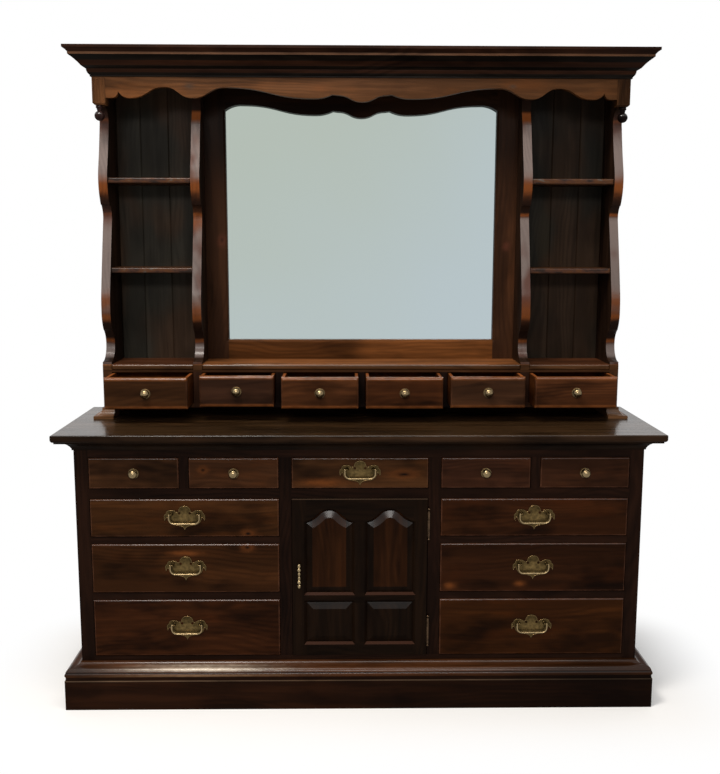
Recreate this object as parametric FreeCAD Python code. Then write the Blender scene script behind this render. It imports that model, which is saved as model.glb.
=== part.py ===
import FreeCAD, Part
import math
import os

os.makedirs("parts", exist_ok=True)

# A pine dresser with a mirrored hutch. All sizes are in millimetres.
# X runs to the right, Y to the back and Z up. The origin is on the floor, under the middle of the top.

Vector = FreeCAD.Vector

# The lower case
TOP_WIDTH = 1778.0
TOP_DEPTH = 495.0
DRESSER_HEIGHT = 838.0
TOP_THICKNESS = 22.0
TOP_OVERHANG = 52.0
TOP_UPPER_ROUND = 3.0
TOP_LOWER_ROUND = 9.0
COVE_HEIGHT = 30.0
COVE_REACH = 44.0
COVE_LIP = 4.0
CASE_BOARD = 20.0
CASE_BACK_BOARD = 10.0
DUST_BOARD = 12.0

# The plinth
PLINTH_HEIGHT = 91.0
PLINTH_REACH = 43.0
PLINTH_BOARD = 22.0
CLEAT_HEIGHT = 30.0
CORNER_BLOCK = 55.0
CAP_HEIGHT = 46.0
CAP_QUIRK = 11.0
CAP_BEAD_HEIGHT = 12.0
CAP_BEAD_SINK = 2.5
CAP_OVOLO_HEIGHT = 13.0
CAP_OVOLO_WIDTH = 17.0
CAP_FILLET = 3.5

# The face frame. Its rows run from the bottom drawers to the small top drawers, and share the height
# that the rails leave in the proportion of their parts
FRAME_THICKNESS = 22.0
OUTER_STILE = 40.5
CENTRE_STILE = 36.0
MUNTIN = 27.0
DOOR_OPENING = 405.0
BOTTOM_RAIL = 61.0
TOP_RAIL = 53.0
ROW_PARTS = [177.5, 151.5, 116.5, 94.0]
RAIL_HEIGHTS = [21.0, 20.5, 30.0]

# The drawers
FRONT_THICKNESS = 20.0
FRONT_PROUD = 3.0
FRONT_ROUND = 4.0
FRONT_GAP = 1.5
DRAWER_SIDE = 12.0
DRAWER_BOTTOM = 6.0
BOTTOM_SINK = 8.0
BOX_BELOW_FRONT = 8.0
HUTCH_BOX_BELOW_FRONT = 2.0
SIDE_GAP = 1.0
SLIDE_GAP = 0.3
BACK_GAP = 12.0
RUNNER_HEIGHT = 18.0
RUNNER_TREAD = 16.0
GUIDE_HEIGHT = 40.0

# The round knobs
KNOB_RADIUS = 13.0
KNOB_LENGTH = 24.0
ROSE_RADIUS = 15.0
ROSE_THICKNESS = 2.0
STEM_RADIUS = 5.0

# The bat-wing plates, their posts and their swinging bails
POST_SPACING = 76.2
PLATE_THICKNESS = 1.6
PLATE_HALF_WIDTH = 60.5
PLATE_CROWN = 25.0
PLATE_PENDANT = 50.0
EYE_RADIUS = 3.8
EYE_OFFSET = 15.5
EYE_RISE = 2.5
POST_RADIUS = 3.0
POST_LENGTH = 11.0
POST_FLANGE_RADIUS = 5.1
EYE_BALL_RADIUS = 4.0
PIN_RADIUS = 1.4
PIN_CLEARANCE = 0.05
PIN_LENGTH = 9.0
BAIL_RADIUS = 2.1
BAIL_GAP = 0.4
BAIL_DROP = 27.0
BAIL_CORNER = 15.0
BAIL_SHOULDER = 3.0

# The cupboard door
DOOR_THICKNESS = 20.0
DOOR_STILE = 41.0
DOOR_MULLION = 43.0
DOOR_TOP_RAIL = 37.0
DOOR_MID_RAIL = 31.0
DOOR_BOTTOM_RAIL = 39.5
DOOR_LOWER_PANEL = 124.5
DOOR_BEVEL = 7.0
ARCH_RISE = 38.0
ARCH_CROWN_RADIUS = 40.0
ARCH_FLANK_RADIUS = 90.0
PANEL_THICKNESS = 8.0
PANEL_FIELD = 7.0
PANEL_BEVEL = 20.0
PANEL_EDGE = 0.5
PANEL_BACK_INSET = 3.0

# The door's hinges and its upright pull
HINGE_GAP = 2.2
LEAF_THICKNESS = 1.0
LEAF_WIDTH = 16.0
BARREL_RADIUS = 3.6
HINGE_PIN_RADIUS = 1.5
HINGE_PIN_CLEARANCE = 0.06
KNUCKLE_HEIGHT = 25.0
KNUCKLE_GAP = 0.3
FINIAL_RADIUS = 4.6
FINIAL_HEIGHT = 12.0
HINGE_FROM_END = 78.0
BARREL_STANDOFF = 4.0
PULL_LENGTH = 75.0
PULL_STANDOFF = 16.0
PULL_POST_RADIUS = 3.0
PULL_POST_FROM_END = 9.0
PULL_ABOVE_MIDDLE = 11.0
PULL_BEADS = [5.0, 6.5, 4.6, 4.6, 6.0, 5.0]

# The hutch: feet, drawer case and the two shelf towers. It is drawn round x = 0, and then moved to the
# right by its shift
HUTCH_INSET = 77.5
HUTCH_SHIFT = 8.4
HUTCH_DEPTH = 197.5
HUTCH_BOARD = 27.5
FOOT_HEIGHT = 32.0
FOOT_WIDTH = 62.0
FOOT_REACH = 28.0
FOOT_LIP = 8.0
FOOT_STEP = 5.0
CASE_FLOOR = 14.0
CELL_HEIGHT = 98.0
CASE_CEILING = 7.0
SHELF_BOARD = 17.0
SHELF_BOARD_SETBACK = 2.0
EDGE_ROUND = 5.0
MIDDLE_DIVIDER = 20.0
SIDE_DIVIDER = 22.0
SIDE_DIVIDER_SHIFT = 8.25
HUTCH_BACK_BOARD = 8.0
HUTCH_FRONT_THICKNESS = 16.0
HUTCH_FRONT_ROUND = 7.0
HUTCH_DRAWER_SIDE = 9.0
HUTCH_DRAWER_LENGTH = 178.0
PULLED_OUT = [118.0, 78.0, 112.0, 114.0, 100.0, 102.0]

TOWER_HEIGHT = 870.0
SIDE_FOOT_SETBACK = 2.0
SIDE_FOOT_HEIGHT = 8.0
SIDE_CURVE_HEIGHT = 789.0
SIDE_LOWER_LOBES = [(56, 62, 27, 108), (14, 132, 9, 172), (11, 205, 18, 238), (48, 354, 74, 448),
                    (73, 473, 58, 494)]
SIDE_NOSE = (51, 495)
SIDE_UPPER_LOBES = [(29, 554, 38, 614), (54, 663, 74, 742)]
SIDE_SCOOP = (68, 770)
SIDE_INNER_HEAD = (86, 764, 94, 788)
MIRROR_SHARE = 0.618
TOWER_SHELF = 17.0
TOWER_SHELF_SETBACK = 36.0
TOWER_SHELVES_UP = [284.0, 560.0]
PLANK_THICKNESS = 10.0
PLANK_WIDTH = 89.0
PLANK_CHAMFER = 2.5
PLANK_SETBACK = 175.0

# The mirror
MIRROR_STILE = 67.5
MIRROR_BOTTOM_RAIL = 63.0
MIRROR_TOP_RAIL = 89.0
MIRROR_WAVE = 30.0
MIRROR_SHOULDER = 56.0
MIRROR_FRAME_THICKNESS = 18.0
MIRROR_SETBACK = 155.0
MIRROR_BEVEL = 6.0
GLASS_THICKNESS = 4.0
GLASS_LAP = 8.0
MIRROR_BACKING = 6.0

# The scallops that the valance and the mirror's top rail share
WAVE_LOW_X = 146.0
NOTCH_X = 90.0
NOTCH_RISE = 12.5
PENDANT_X = 75.0
PENDANT_RISE = 10.5
PENDANT_DROP = 9.0

# The valance, corner posts and crown
ROOF_BOARD = 16.0
CORNER_POST = 39.0
CORNER_POST_HEIGHT = 81.0
CORNER_POST_CHAMFER = 5.0
CANOPY_FORWARD = 7.0
REEDS = 4
REED_RADIUS = 2.6
REED_SHIFT = 1.0
DROP_BALL_RADIUS = 15.5
DROP_SHIFT = 3.5
DROP_LENGTH = 46.0
DROP_TIP_ANGLE = 0.5
VALANCE_THICKNESS = 19.0
VALANCE_RECESS = 2.0
VALANCE_DEPTH = 61.0
VALANCE_WAVE = 32.0
VALANCE_FLAT = 20.0
VALANCE_CUSP = 38.0
VALANCE_LOBES = [76.0, 177.0, 260.0, 358.0]
CROWN_HEIGHT = 81.0
CROWN_REACH = 68.0
CROWN_TOP_FILLET = 8.0
CROWN_LIP = 2.0
CROWN_SMALL_COVE = (11.0, 11.0)
CROWN_SMALL_COVE_SHARE = 0.03
CROWN_BAND = 6.0
CROWN_SOFFIT = (5.0, 4.0)
CROWN_COVE = (26.0, 24.0)
CROWN_COVE_SHARE = 0.04
CROWN_STEP = (11.5, 7.0)
CROWN_BED_SHARE = 0.12
CROWN_FOOT = 4.0
CROWN_RAIL = 19.0

# How far a bevel's cut starts in front of the face that it cuts
CUT_AHEAD = 1.0

# Points nearer to each other than this are taken as one
SAME_PLACE = 1e-6

# Places that follow from the sizes
CASE_HALF = TOP_WIDTH / 2 - TOP_OVERHANG
CASE_FRONT = TOP_OVERHANG - TOP_DEPTH / 2
CASE_REAR = TOP_DEPTH / 2
CASE_TOP = DRESSER_HEIGHT - TOP_THICKNESS
FRAME_REAR = CASE_FRONT + FRAME_THICKNESS
BACK_INSIDE = CASE_REAR - CASE_BACK_BOARD
SIDE_INSIDE = CASE_HALF - CASE_BOARD
DOOR_HALF = DOOR_OPENING / 2
BANK_IN = DOOR_HALF + CENTRE_STILE
BANK_OUT = CASE_HALF - OUTER_STILE
BANK_MIDDLE = (BANK_IN + BANK_OUT) / 2
PARTITION_IN = DOOR_HALF + (CENTRE_STILE - CASE_BOARD) / 2
PARTITION_OUT = PARTITION_IN + CASE_BOARD
DRAWER_FACE = CASE_FRONT - FRONT_PROUD
CABINET_FLOOR = PLINTH_HEIGHT + BOTTOM_RAIL

HUTCH_HALF = TOP_WIDTH / 2 - HUTCH_INSET
HUTCH_FRONT = CASE_REAR - HUTCH_DEPTH
HUTCH_INSIDE = HUTCH_HALF - HUTCH_BOARD
TOWER_INSIDE = MIRROR_SHARE * HUTCH_HALF
TOWER_INNER_FACE = TOWER_INSIDE + HUTCH_BOARD
SIDE_DIVIDER_X = TOWER_INSIDE / 2 + SIDE_DIVIDER_SHIFT
FLOOR_LOW = DRESSER_HEIGHT + FOOT_HEIGHT
CELL_LOW = FLOOR_LOW + CASE_FLOOR
CELL_HIGH = CELL_LOW + CELL_HEIGHT
SHELF_LOW = CELL_HIGH + CASE_CEILING
SHELF_HIGH = SHELF_LOW + SHELF_BOARD
TOWER_TOP = SHELF_HIGH + TOWER_HEIGHT
CANOPY_FRONT = HUTCH_FRONT - CANOPY_FORWARD
POST_REAR = CANOPY_FRONT + CORNER_POST
VALANCE_FRONT = CANOPY_FRONT + VALANCE_RECESS
MIRROR_FACE = HUTCH_FRONT + MIRROR_SETBACK
MIRROR_REAR = MIRROR_FACE + MIRROR_FRAME_THICKNESS
PLANK_FACE = HUTCH_FRONT + PLANK_SETBACK
GLASS_HALF = TOWER_INSIDE - MIRROR_STILE
HINGE_X = DOOR_HALF + BARREL_RADIUS / 2
HINGE_Y = DRAWER_FACE - BARREL_STANDOFF
HINGE_LENGTH = 3 * KNUCKLE_HEIGHT + 2 * KNUCKLE_GAP


class Outline:
    """A closed outline in a plane. The place function turns its two coordinates into a point."""

    def __init__(self, place, u, v):
        self.place = place
        self.start = place(u, v)
        self.at = (u, v)
        self.edges = []

    def run(self, u, v):
        """A straight run."""
        self.edges.append(Part.LineSegment(self.place(*self.at), self.place(u, v)).toShape())
        self.at = (u, v)

    def arc(self, through_u, through_v, u, v):
        """An arc through one point to the next."""
        middle = self.place(through_u, through_v)
        self.edges.append(Part.Arc(self.place(*self.at), middle, self.place(u, v)).toShape())
        self.at = (u, v)

    def bow(self, u, v, swell):
        """An arc that stands off its straight run by a share of its length, to the left where above 0."""
        from_u, from_v = self.at
        middle_u = (from_u + u) / 2 - swell * (v - from_v)
        middle_v = (from_v + v) / 2 + swell * (u - from_u)
        self.arc(middle_u, middle_v, u, v)

    def ogee(self, u, v):
        """An S-curve that leaves and arrives level."""
        half = (self.at[0] + u) / 2
        poles = [self.at, (half, self.at[1]), (half, v), (u, v)]
        curve = Part.BezierCurve()
        curve.setPoles([self.place(*pole) for pole in poles])
        self.edges.append(curve.toShape())
        self.at = (u, v)

    def face(self):
        """The face inside the outline, closed by a straight run."""
        end = self.place(*self.at)
        if end.distanceToPoint(self.start) > SAME_PLACE:
            self.edges.append(Part.LineSegment(end, self.start).toShape())
        return Part.Face(Part.Wire(self.edges))


def block(x0, x1, y0, y1, z0, z1):
    """A box between the given limits."""
    return Part.makeBox(x1 - x0, y1 - y0, z1 - z0, Vector(x0, y0, z0))


def mirrored(solid):
    """The same solid on the left side."""
    return solid.mirror(Vector(0, 0, 0), Vector(1, 0, 0))


def both_sides(solids):
    """The solids and their mirror images."""
    return solids + [mirrored(solid) for solid in solids]


def rounded_block(x0, x1, y0, y1, z0, z1, radius):
    """A box whose four front edges are rounded."""
    solid = block(x0, x1, y0, y1, z0, z1)
    front = [edge for edge in solid.Edges if abs(edge.BoundBox.YMax - y0) < SAME_PLACE]
    return solid.makeFillet(radius, front)


def flat_prism(points, low, high):
    """A prism on a plan given by its corners."""
    corners = [Vector(x, y, low) for x, y in points]
    return Part.Face(Part.makePolygon(corners + corners[:1])).extrude(Vector(0, 0, high - low))


def mitred_runs(section, inner, outer, half, front, rear):
    """A moulding round the front and both sides of a box, in three lengths with mitred corners.

    section draws the moulding's face from its reach and height; inner and outer bound its reach.
    """
    left_end = -half - outer
    front_run = section(lambda reach, z: Vector(left_end, front - reach, z))
    front_run = front_run.extrude(Vector(2 * (half + outer), 0, 0))
    side_run = section(lambda reach, z: Vector(half + reach, front - outer, z))
    side_run = side_run.extrude(Vector(0, rear - front + outer, 0))
    low = front_run.BoundBox.ZMin
    high = front_run.BoundBox.ZMax
    far = (half + outer, front - outer)
    near = (half + inner, front - inner)
    front_plan = [(-far[0], far[1]), far, near, (-near[0], near[1])]
    side_plan = [far, (far[0], rear), (near[0], rear), near]
    front_run = front_run.common(flat_prism(front_plan, low, high))
    side_run = side_run.common(flat_prism(side_plan, low, high))
    return [front_run, side_run, mirrored(side_run)]


def turned(points, place, foot, axis):
    """A turned solid. A pair is the end of a straight run, and four numbers an arc's middle and end."""
    outline = Outline(place, 0.0, points[0][1])
    for point in points:
        if len(point) == 2:
            outline.run(*point)
        else:
            outline.arc(*point)
    if outline.at[0] > 0:
        outline.run(0.0, outline.at[1])
    return outline.face().revolve(foot, axis, 360)


def dome(radius, base, tip):
    """The arc of a round end, from its rim at base to its tip on the axis."""
    height = tip - base
    ball = (radius * radius + height * height) / (2 * abs(height))
    centre = tip - math.copysign(ball, height)
    half_angle = math.atan2(radius, math.copysign(1, height) * (base - centre)) / 2
    through = centre + math.copysign(ball * math.cos(half_angle), height)
    return (ball * math.sin(half_angle), through, 0.0, tip)


def row_levels():
    """The bottom and top of each row of openings, from the lowest row up."""
    levels = []
    low = CABINET_FLOOR
    share = (CASE_TOP - TOP_RAIL - CABINET_FLOOR - sum(RAIL_HEIGHTS)) / sum(ROW_PARTS)
    for index, part in enumerate(ROW_PARTS):
        height = share * part
        levels.append((low, low + height))
        low += height
        if index < len(RAIL_HEIGHTS):
            low += RAIL_HEIGHTS[index]
    return levels


ROWS = row_levels()
SMALL_LOW, SMALL_HIGH = ROWS[-1]
DOOR_LOW = CABINET_FLOOR
DOOR_HIGH = ROWS[-2][1]
MUNTIN_IN = BANK_MIDDLE - MUNTIN / 2
MUNTIN_OUT = BANK_MIDDLE + MUNTIN / 2


def plinth_board_section(place):
    outline = Outline(place, PLINTH_REACH - PLINTH_BOARD, 0.0)
    outline.run(PLINTH_REACH, 0.0)
    outline.run(PLINTH_REACH, PLINTH_HEIGHT)
    outline.run(PLINTH_REACH - PLINTH_BOARD, PLINTH_HEIGHT)
    return outline.face()


def plinth_cap_section(place):
    """From the plinth's top up to the case: quirk, bead, ovolo, cove and fillet."""
    bead_low = PLINTH_HEIGHT + CAP_QUIRK
    bead_high = bead_low + CAP_BEAD_HEIGHT
    neck = PLINTH_REACH - CAP_BEAD_SINK
    ovolo_high = bead_high + CAP_OVOLO_HEIGHT
    ovolo_in = neck - CAP_OVOLO_WIDTH
    top = PLINTH_HEIGHT + CAP_HEIGHT
    outline = Outline(place, 0.0, PLINTH_HEIGHT)
    outline.run(neck, PLINTH_HEIGHT)
    outline.run(neck, bead_low)
    outline.arc(PLINTH_REACH, (bead_low + bead_high) / 2, neck, bead_high)
    outline.arc(neck - 0.25 * CAP_OVOLO_WIDTH, ovolo_high - 0.3 * CAP_OVOLO_HEIGHT, ovolo_in, ovolo_high)
    cove_width = ovolo_in - CAP_FILLET
    cove_height = top - CAP_FILLET - ovolo_high
    outline.arc(CAP_FILLET + 0.3 * cove_width, ovolo_high + 0.25 * cove_height, CAP_FILLET, top - CAP_FILLET)
    outline.run(CAP_FILLET, top)
    outline.run(0.0, top)
    return outline.face()


def plinth():
    """Mitred boards on the floor, a rear board, cleats, corner blocks and the cap moulding."""
    inner = PLINTH_REACH - PLINTH_BOARD
    solids = mitred_runs(plinth_board_section, inner, PLINTH_REACH, CASE_HALF, CASE_FRONT, CASE_REAR)
    solids += mitred_runs(plinth_cap_section, 0.0, PLINTH_REACH, CASE_HALF, CASE_FRONT, CASE_REAR)
    inside = CASE_HALF + inner
    board_rear = CASE_FRONT - inner
    rear_face = CASE_REAR - PLINTH_BOARD
    solids.append(block(-inside, inside, rear_face, CASE_REAR, 0.0, PLINTH_HEIGHT))
    cleat_low = PLINTH_HEIGHT - CLEAT_HEIGHT
    cleat_width = inner + FRAME_THICKNESS
    solids.append(block(-inside, inside, board_rear, board_rear + cleat_width, cleat_low, PLINTH_HEIGHT))
    side_cleat = block(inside - cleat_width, inside, board_rear + cleat_width, rear_face,
                       cleat_low, PLINTH_HEIGHT)
    front_block = block(inside - CORNER_BLOCK, inside, board_rear, board_rear + CORNER_BLOCK,
                        0.0, cleat_low)
    rear_block = block(inside - CORNER_BLOCK, inside, rear_face - CORNER_BLOCK, rear_face,
                       0.0, cleat_low)
    solids += both_sides([side_cleat, front_block, rear_block])
    return solids


def case_sides():
    return both_sides([block(SIDE_INSIDE, CASE_HALF, FRAME_REAR, CASE_REAR, PLINTH_HEIGHT, CASE_TOP)])


def case_back():
    return [block(-SIDE_INSIDE, SIDE_INSIDE, BACK_INSIDE, CASE_REAR, PLINTH_HEIGHT, CASE_TOP)]


def frame_piece(x0, x1, z0, z1):
    return block(x0, x1, CASE_FRONT, FRAME_REAR, z0, z1)


def face_frame():
    """Stiles and rails round every drawer and the door."""
    solids = [frame_piece(-BANK_OUT, BANK_OUT, PLINTH_HEIGHT, CABINET_FLOOR)]
    solids.append(frame_piece(-BANK_OUT, BANK_OUT, SMALL_HIGH, CASE_TOP))
    solids.append(frame_piece(-DOOR_HALF, DOOR_HALF, DOOR_HIGH, SMALL_LOW))
    paired = [frame_piece(BANK_OUT, CASE_HALF, PLINTH_HEIGHT, CASE_TOP)]
    paired.append(frame_piece(DOOR_HALF, BANK_IN, CABINET_FLOOR, SMALL_HIGH))
    paired.append(frame_piece(MUNTIN_IN, MUNTIN_OUT, SMALL_LOW, SMALL_HIGH))
    for lower, upper in zip(ROWS[:-1], ROWS[1:]):
        paired.append(frame_piece(BANK_IN, BANK_OUT, lower[1], upper[0]))
    return solids + both_sides(paired)


def case_partitions():
    """The upright partitions, the floor boards and the boards under the small drawers."""
    rise = FRONT_GAP - SLIDE_GAP
    dust_high = SMALL_LOW + rise
    dust_low = dust_high - DUST_BOARD
    solids = [block(-PARTITION_IN, PARTITION_IN, FRAME_REAR, BACK_INSIDE,
                    CABINET_FLOOR - CASE_BOARD, CABINET_FLOOR)]
    solids.append(block(-PARTITION_IN, PARTITION_IN, FRAME_REAR, BACK_INSIDE, dust_low, dust_high))
    paired = [block(PARTITION_IN, PARTITION_OUT, FRAME_REAR, BACK_INSIDE, PLINTH_HEIGHT, CASE_TOP)]
    bank_floor = CABINET_FLOOR + rise - RUNNER_HEIGHT
    paired.append(block(PARTITION_OUT, SIDE_INSIDE, FRAME_REAR, BACK_INSIDE,
                        bank_floor - CASE_BOARD, bank_floor))
    paired.append(block(PARTITION_OUT, SIDE_INSIDE, FRAME_REAR, BACK_INSIDE, dust_low, dust_high))
    paired.append(block(MUNTIN_IN, MUNTIN_OUT, FRAME_REAR, BACK_INSIDE, dust_high, CASE_TOP))
    return solids + both_sides(paired)


def runner(wall, tread_end, guide_face, tread_top):
    """An L-shaped runner: a tread under the drawer's side and a guide beside it."""
    low = tread_top - RUNNER_HEIGHT
    outline = Outline(lambda x, z: Vector(x, FRAME_REAR, z), wall, low)
    outline.run(tread_end, low)
    outline.run(tread_end, tread_top)
    outline.run(guide_face, tread_top)
    outline.run(guide_face, tread_top + GUIDE_HEIGHT)
    outline.run(wall, tread_top + GUIDE_HEIGHT)
    return outline.face().extrude(Vector(0, BACK_INSIDE - FRAME_REAR, 0))


def drawer_runners():
    """Runners for the six bank drawers and plain guides for the five small top drawers."""
    rise = FRONT_GAP - SLIDE_GAP
    paired = []
    for level in ROWS[:-1]:
        tread_top = level[0] + rise
        paired.append(runner(SIDE_INSIDE, BANK_OUT - RUNNER_TREAD, BANK_OUT, tread_top))
        paired.append(runner(PARTITION_OUT, BANK_IN + RUNNER_TREAD, BANK_IN, tread_top))
    guide_low = SMALL_LOW + rise
    guide_high = guide_low + GUIDE_HEIGHT
    for wall, face in ((BANK_OUT, SIDE_INSIDE), (PARTITION_OUT, BANK_IN), (DOOR_HALF, PARTITION_IN)):
        paired.append(block(wall, face, FRAME_REAR, BACK_INSIDE, guide_low, guide_high))
    return both_sides(paired)


def top_cove_section(place):
    """The cove moulding under the top board."""
    low = CASE_TOP - COVE_HEIGHT
    outline = Outline(place, 0.0, low)
    outline.run(COVE_LIP, low)
    outline.run(COVE_LIP, low + COVE_LIP)
    width = COVE_REACH - COVE_LIP
    height = COVE_HEIGHT - 2 * COVE_LIP
    outline.arc(COVE_LIP + 0.3 * width, low + COVE_LIP + 0.68 * height, COVE_REACH, CASE_TOP - COVE_LIP)
    outline.run(COVE_REACH, CASE_TOP)
    outline.run(0.0, CASE_TOP)
    return outline.face()


def rounded_edge(place, inner, outer, low, high, lower_round, upper_round):
    """A board's section from inner to outer, rounded where it ends at outer."""
    corner = 1 - math.sqrt(0.5)
    outline = Outline(place, inner, low)
    outline.run(outer - lower_round, low)
    outline.arc(outer - corner * lower_round, low + corner * lower_round, outer, low + lower_round)
    outline.run(outer, high - upper_round)
    outline.arc(outer - corner * upper_round, high - corner * upper_round, outer - upper_round, high)
    outline.run(inner, high)
    return outline.face()


def dresser_top():
    """The top board with its rounded front and side edges, and the cove moulding below it."""
    half = TOP_WIDTH / 2
    front = -TOP_DEPTH / 2
    limits = (CASE_TOP, DRESSER_HEIGHT, TOP_LOWER_ROUND, TOP_UPPER_ROUND)
    right = rounded_edge(lambda x, z: Vector(x, front, z), 0.0, half, *limits)
    right = right.extrude(Vector(0, TOP_DEPTH, 0))
    across = right.fuse(mirrored(right)).removeSplitter()
    along = rounded_edge(lambda y, z: Vector(-half, -y, z), -CASE_REAR, -front, *limits)
    along = along.extrude(Vector(TOP_WIDTH, 0, 0))
    board = across.common(along)
    cove = mitred_runs(top_cove_section, 0.0, COVE_REACH, CASE_HALF, CASE_FRONT, CASE_REAR)
    return [board] + cove


def drawer(x0, x1, z0, z1, face, length, sides, thickness, rounding, below):
    """A drawer for the opening from x0 to x1 and z0 to z1: front, two sides, back and bottom."""
    low = z0 + FRONT_GAP
    high = z1 - FRONT_GAP
    front = rounded_block(x0 + FRONT_GAP, x1 - FRONT_GAP, face, face + thickness, low, high, rounding)
    box_high = high - below
    left = x0 + SIDE_GAP + FRONT_GAP
    right = x1 - SIDE_GAP - FRONT_GAP
    near = face + thickness
    far = face + length
    bottom_low = low + BOTTOM_SINK
    solids = [front]
    solids.append(block(left, left + sides, near, far, low, box_high))
    solids.append(block(right - sides, right, near, far, low, box_high))
    solids.append(block(left + sides, right - sides, far - sides, far, low, box_high))
    solids.append(block(left + sides, right - sides, near, far - sides, bottom_low,
                        bottom_low + DRAWER_BOTTOM))
    return solids


BASE_DRAWER_LENGTH = BACK_INSIDE - BACK_GAP - DRAWER_FACE


def base_drawer(x0, x1, level):
    return drawer(x0, x1, level[0], level[1], DRAWER_FACE, BASE_DRAWER_LENGTH, DRAWER_SIDE,
                  FRONT_THICKNESS, FRONT_ROUND, BOX_BELOW_FRONT)


def knob(x, face, z):
    """A turned knob on a round rose."""
    neck = ROSE_THICKNESS + 0.3 * (KNOB_LENGTH - ROSE_THICKNESS)
    widest = 0.68 * KNOB_LENGTH
    points = [(ROSE_RADIUS, 0.0), (ROSE_RADIUS, ROSE_THICKNESS), (STEM_RADIUS, 1.5 * ROSE_THICKNESS),
              (STEM_RADIUS, neck), (0.85 * KNOB_RADIUS, 0.5 * KNOB_LENGTH, KNOB_RADIUS, widest),
              dome(KNOB_RADIUS, widest, KNOB_LENGTH)]
    place = lambda radius, out: Vector(x + radius, face - out, z)
    return [turned(points, place, Vector(x, face, z), Vector(0, 1, 0))]


def plate_outline(x, face, z):
    """The bat-wing outline: a crown lobe, raised wings, drooping tips and a pointed pendant."""
    half = PLATE_HALF_WIDTH
    top = PLATE_CROWN
    low = -PLATE_PENDANT
    outline = Outline(lambda u, v: Vector(x + u, face, z + v), 0.0, top)
    right = [(0.21 * half, 0.84 * top, 0.3 * half, 0.36 * top),
             (0.34 * half, 0.27 * top, 0.42 * half, 0.3 * top),
             (0.6 * half, 0.48 * top, 0.76 * half, 0.46 * top),
             (0.86 * half, 0.36 * top, 0.9 * half, 0.08 * top),
             (0.99 * half, -0.12 * top, half, -0.42 * top),
             (0.99 * half, -0.68 * top, 0.95 * half, -0.84 * top),
             (0.92 * half, -0.58 * top, 0.85 * half, -0.44 * top),
             (0.74 * half, 0.52 * low, 0.46 * half, 0.69 * low),
             (0.27 * half, 0.72 * low, 0.12 * half, 0.78 * low),
             (0.05 * half, 0.86 * low, 0.0, low)]
    for step in right:
        outline.arc(*step)
    starts = [(0.0, top)] + [step[2:] for step in right[:-1]]
    for (u, v), step in zip(reversed(starts), reversed(right)):
        outline.arc(-step[0], step[1], -u, v)
    return outline.face()


def pull_plate(x, face, z):
    """The plate with its two pierced eyes, and a flanged post each side with a bored ball for the bail."""
    plate = plate_outline(x, face, z).extrude(Vector(0, -PLATE_THICKNESS, 0))
    for side in (-1, 1):
        at = Vector(x + side * EYE_OFFSET, face, z + EYE_RISE)
        eye = Part.makeCylinder(EYE_RADIUS, PLATE_THICKNESS, at, Vector(0, -1, 0))
        plate = plate.cut(eye)
    solids = [plate]
    axis_y = face - PLATE_THICKNESS - POST_LENGTH
    for side in (-1, 1):
        post_x = x + side * POST_SPACING / 2
        stem = Part.makeCylinder(POST_RADIUS, POST_LENGTH, Vector(post_x, face - PLATE_THICKNESS, z),
                                 Vector(0, -1, 0))
        flange = Part.makeCone(POST_FLANGE_RADIUS, POST_RADIUS, POST_RADIUS,
                               Vector(post_x, face - PLATE_THICKNESS, z), Vector(0, -1, 0))
        ball = Part.makeSphere(EYE_BALL_RADIUS, Vector(post_x, axis_y, z))
        bore = Part.makeCylinder(PIN_RADIUS + PIN_CLEARANCE, 4 * EYE_BALL_RADIUS,
                                 Vector(post_x - 2 * EYE_BALL_RADIUS, axis_y, z), Vector(1, 0, 0))
        solids.append(stem.fuse(flange).fuse(ball).cut(bore))
    return solids


def bail_reach():
    """How far from the middle the bail's upright legs stand, outside the posts' balls."""
    return POST_SPACING / 2 + EYE_BALL_RADIUS + BAIL_GAP + BAIL_RADIUS


def bail(x, face, z):
    """A swinging handle of bent rod, with a pin at each end in the posts' balls."""
    axis_y = face - PLATE_THICKNESS - POST_LENGTH
    leg = bail_reach()
    corner = 1 - math.sqrt(0.5)
    outline = Outline(lambda u, v: Vector(x + u, axis_y, z + v), -leg, -BAIL_SHOULDER)
    outline.run(-leg, BAIL_CORNER - BAIL_DROP)
    outline.arc(corner * BAIL_CORNER - leg, corner * BAIL_CORNER - BAIL_DROP, BAIL_CORNER - leg, -BAIL_DROP)
    outline.run(leg - BAIL_CORNER, -BAIL_DROP)
    outline.arc(leg - corner * BAIL_CORNER, corner * BAIL_CORNER - BAIL_DROP, leg, BAIL_CORNER - BAIL_DROP)
    outline.run(leg, -BAIL_SHOULDER)
    path = Part.Wire(outline.edges)
    start = Vector(x - leg, axis_y, z - BAIL_SHOULDER)
    ring = Part.Wire(Part.makeCircle(BAIL_RADIUS, start, Vector(0, 0, -1)))
    rod = path.makePipeShell([ring], True, False)
    for side in (-1, 1):
        knuckle = Part.makeSphere(BAIL_RADIUS, Vector(x + side * leg, axis_y, z))
        neck = Part.makeCylinder(BAIL_RADIUS, BAIL_SHOULDER, Vector(x + side * leg, axis_y, z),
                                 Vector(0, 0, -1))
        pin = Part.makeCylinder(PIN_RADIUS, PIN_LENGTH, Vector(x + side * leg, axis_y, z),
                                Vector(-side, 0, 0))
        rod = rod.fuse([knuckle, neck, pin])
    return [rod.removeSplitter()]


def flank_centre(half):
    """The centre of an arch's flank, from the arch's middle and shoulder.

    The flank touches the crown's circle and ends at the panel's side, half a panel from the middle.
    """
    crown_up = ARCH_RISE - ARCH_CROWN_RADIUS
    span = ARCH_CROWN_RADIUS + ARCH_FLANK_RADIUS
    distance = math.hypot(half, crown_up)
    along = (span * span - ARCH_FLANK_RADIUS * ARCH_FLANK_RADIUS + distance * distance) / (2 * distance)
    across = math.sqrt(span * span - along * along)
    out = (along * half + across * crown_up) / distance
    return out, crown_up + (across * half - along * crown_up) / distance


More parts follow.
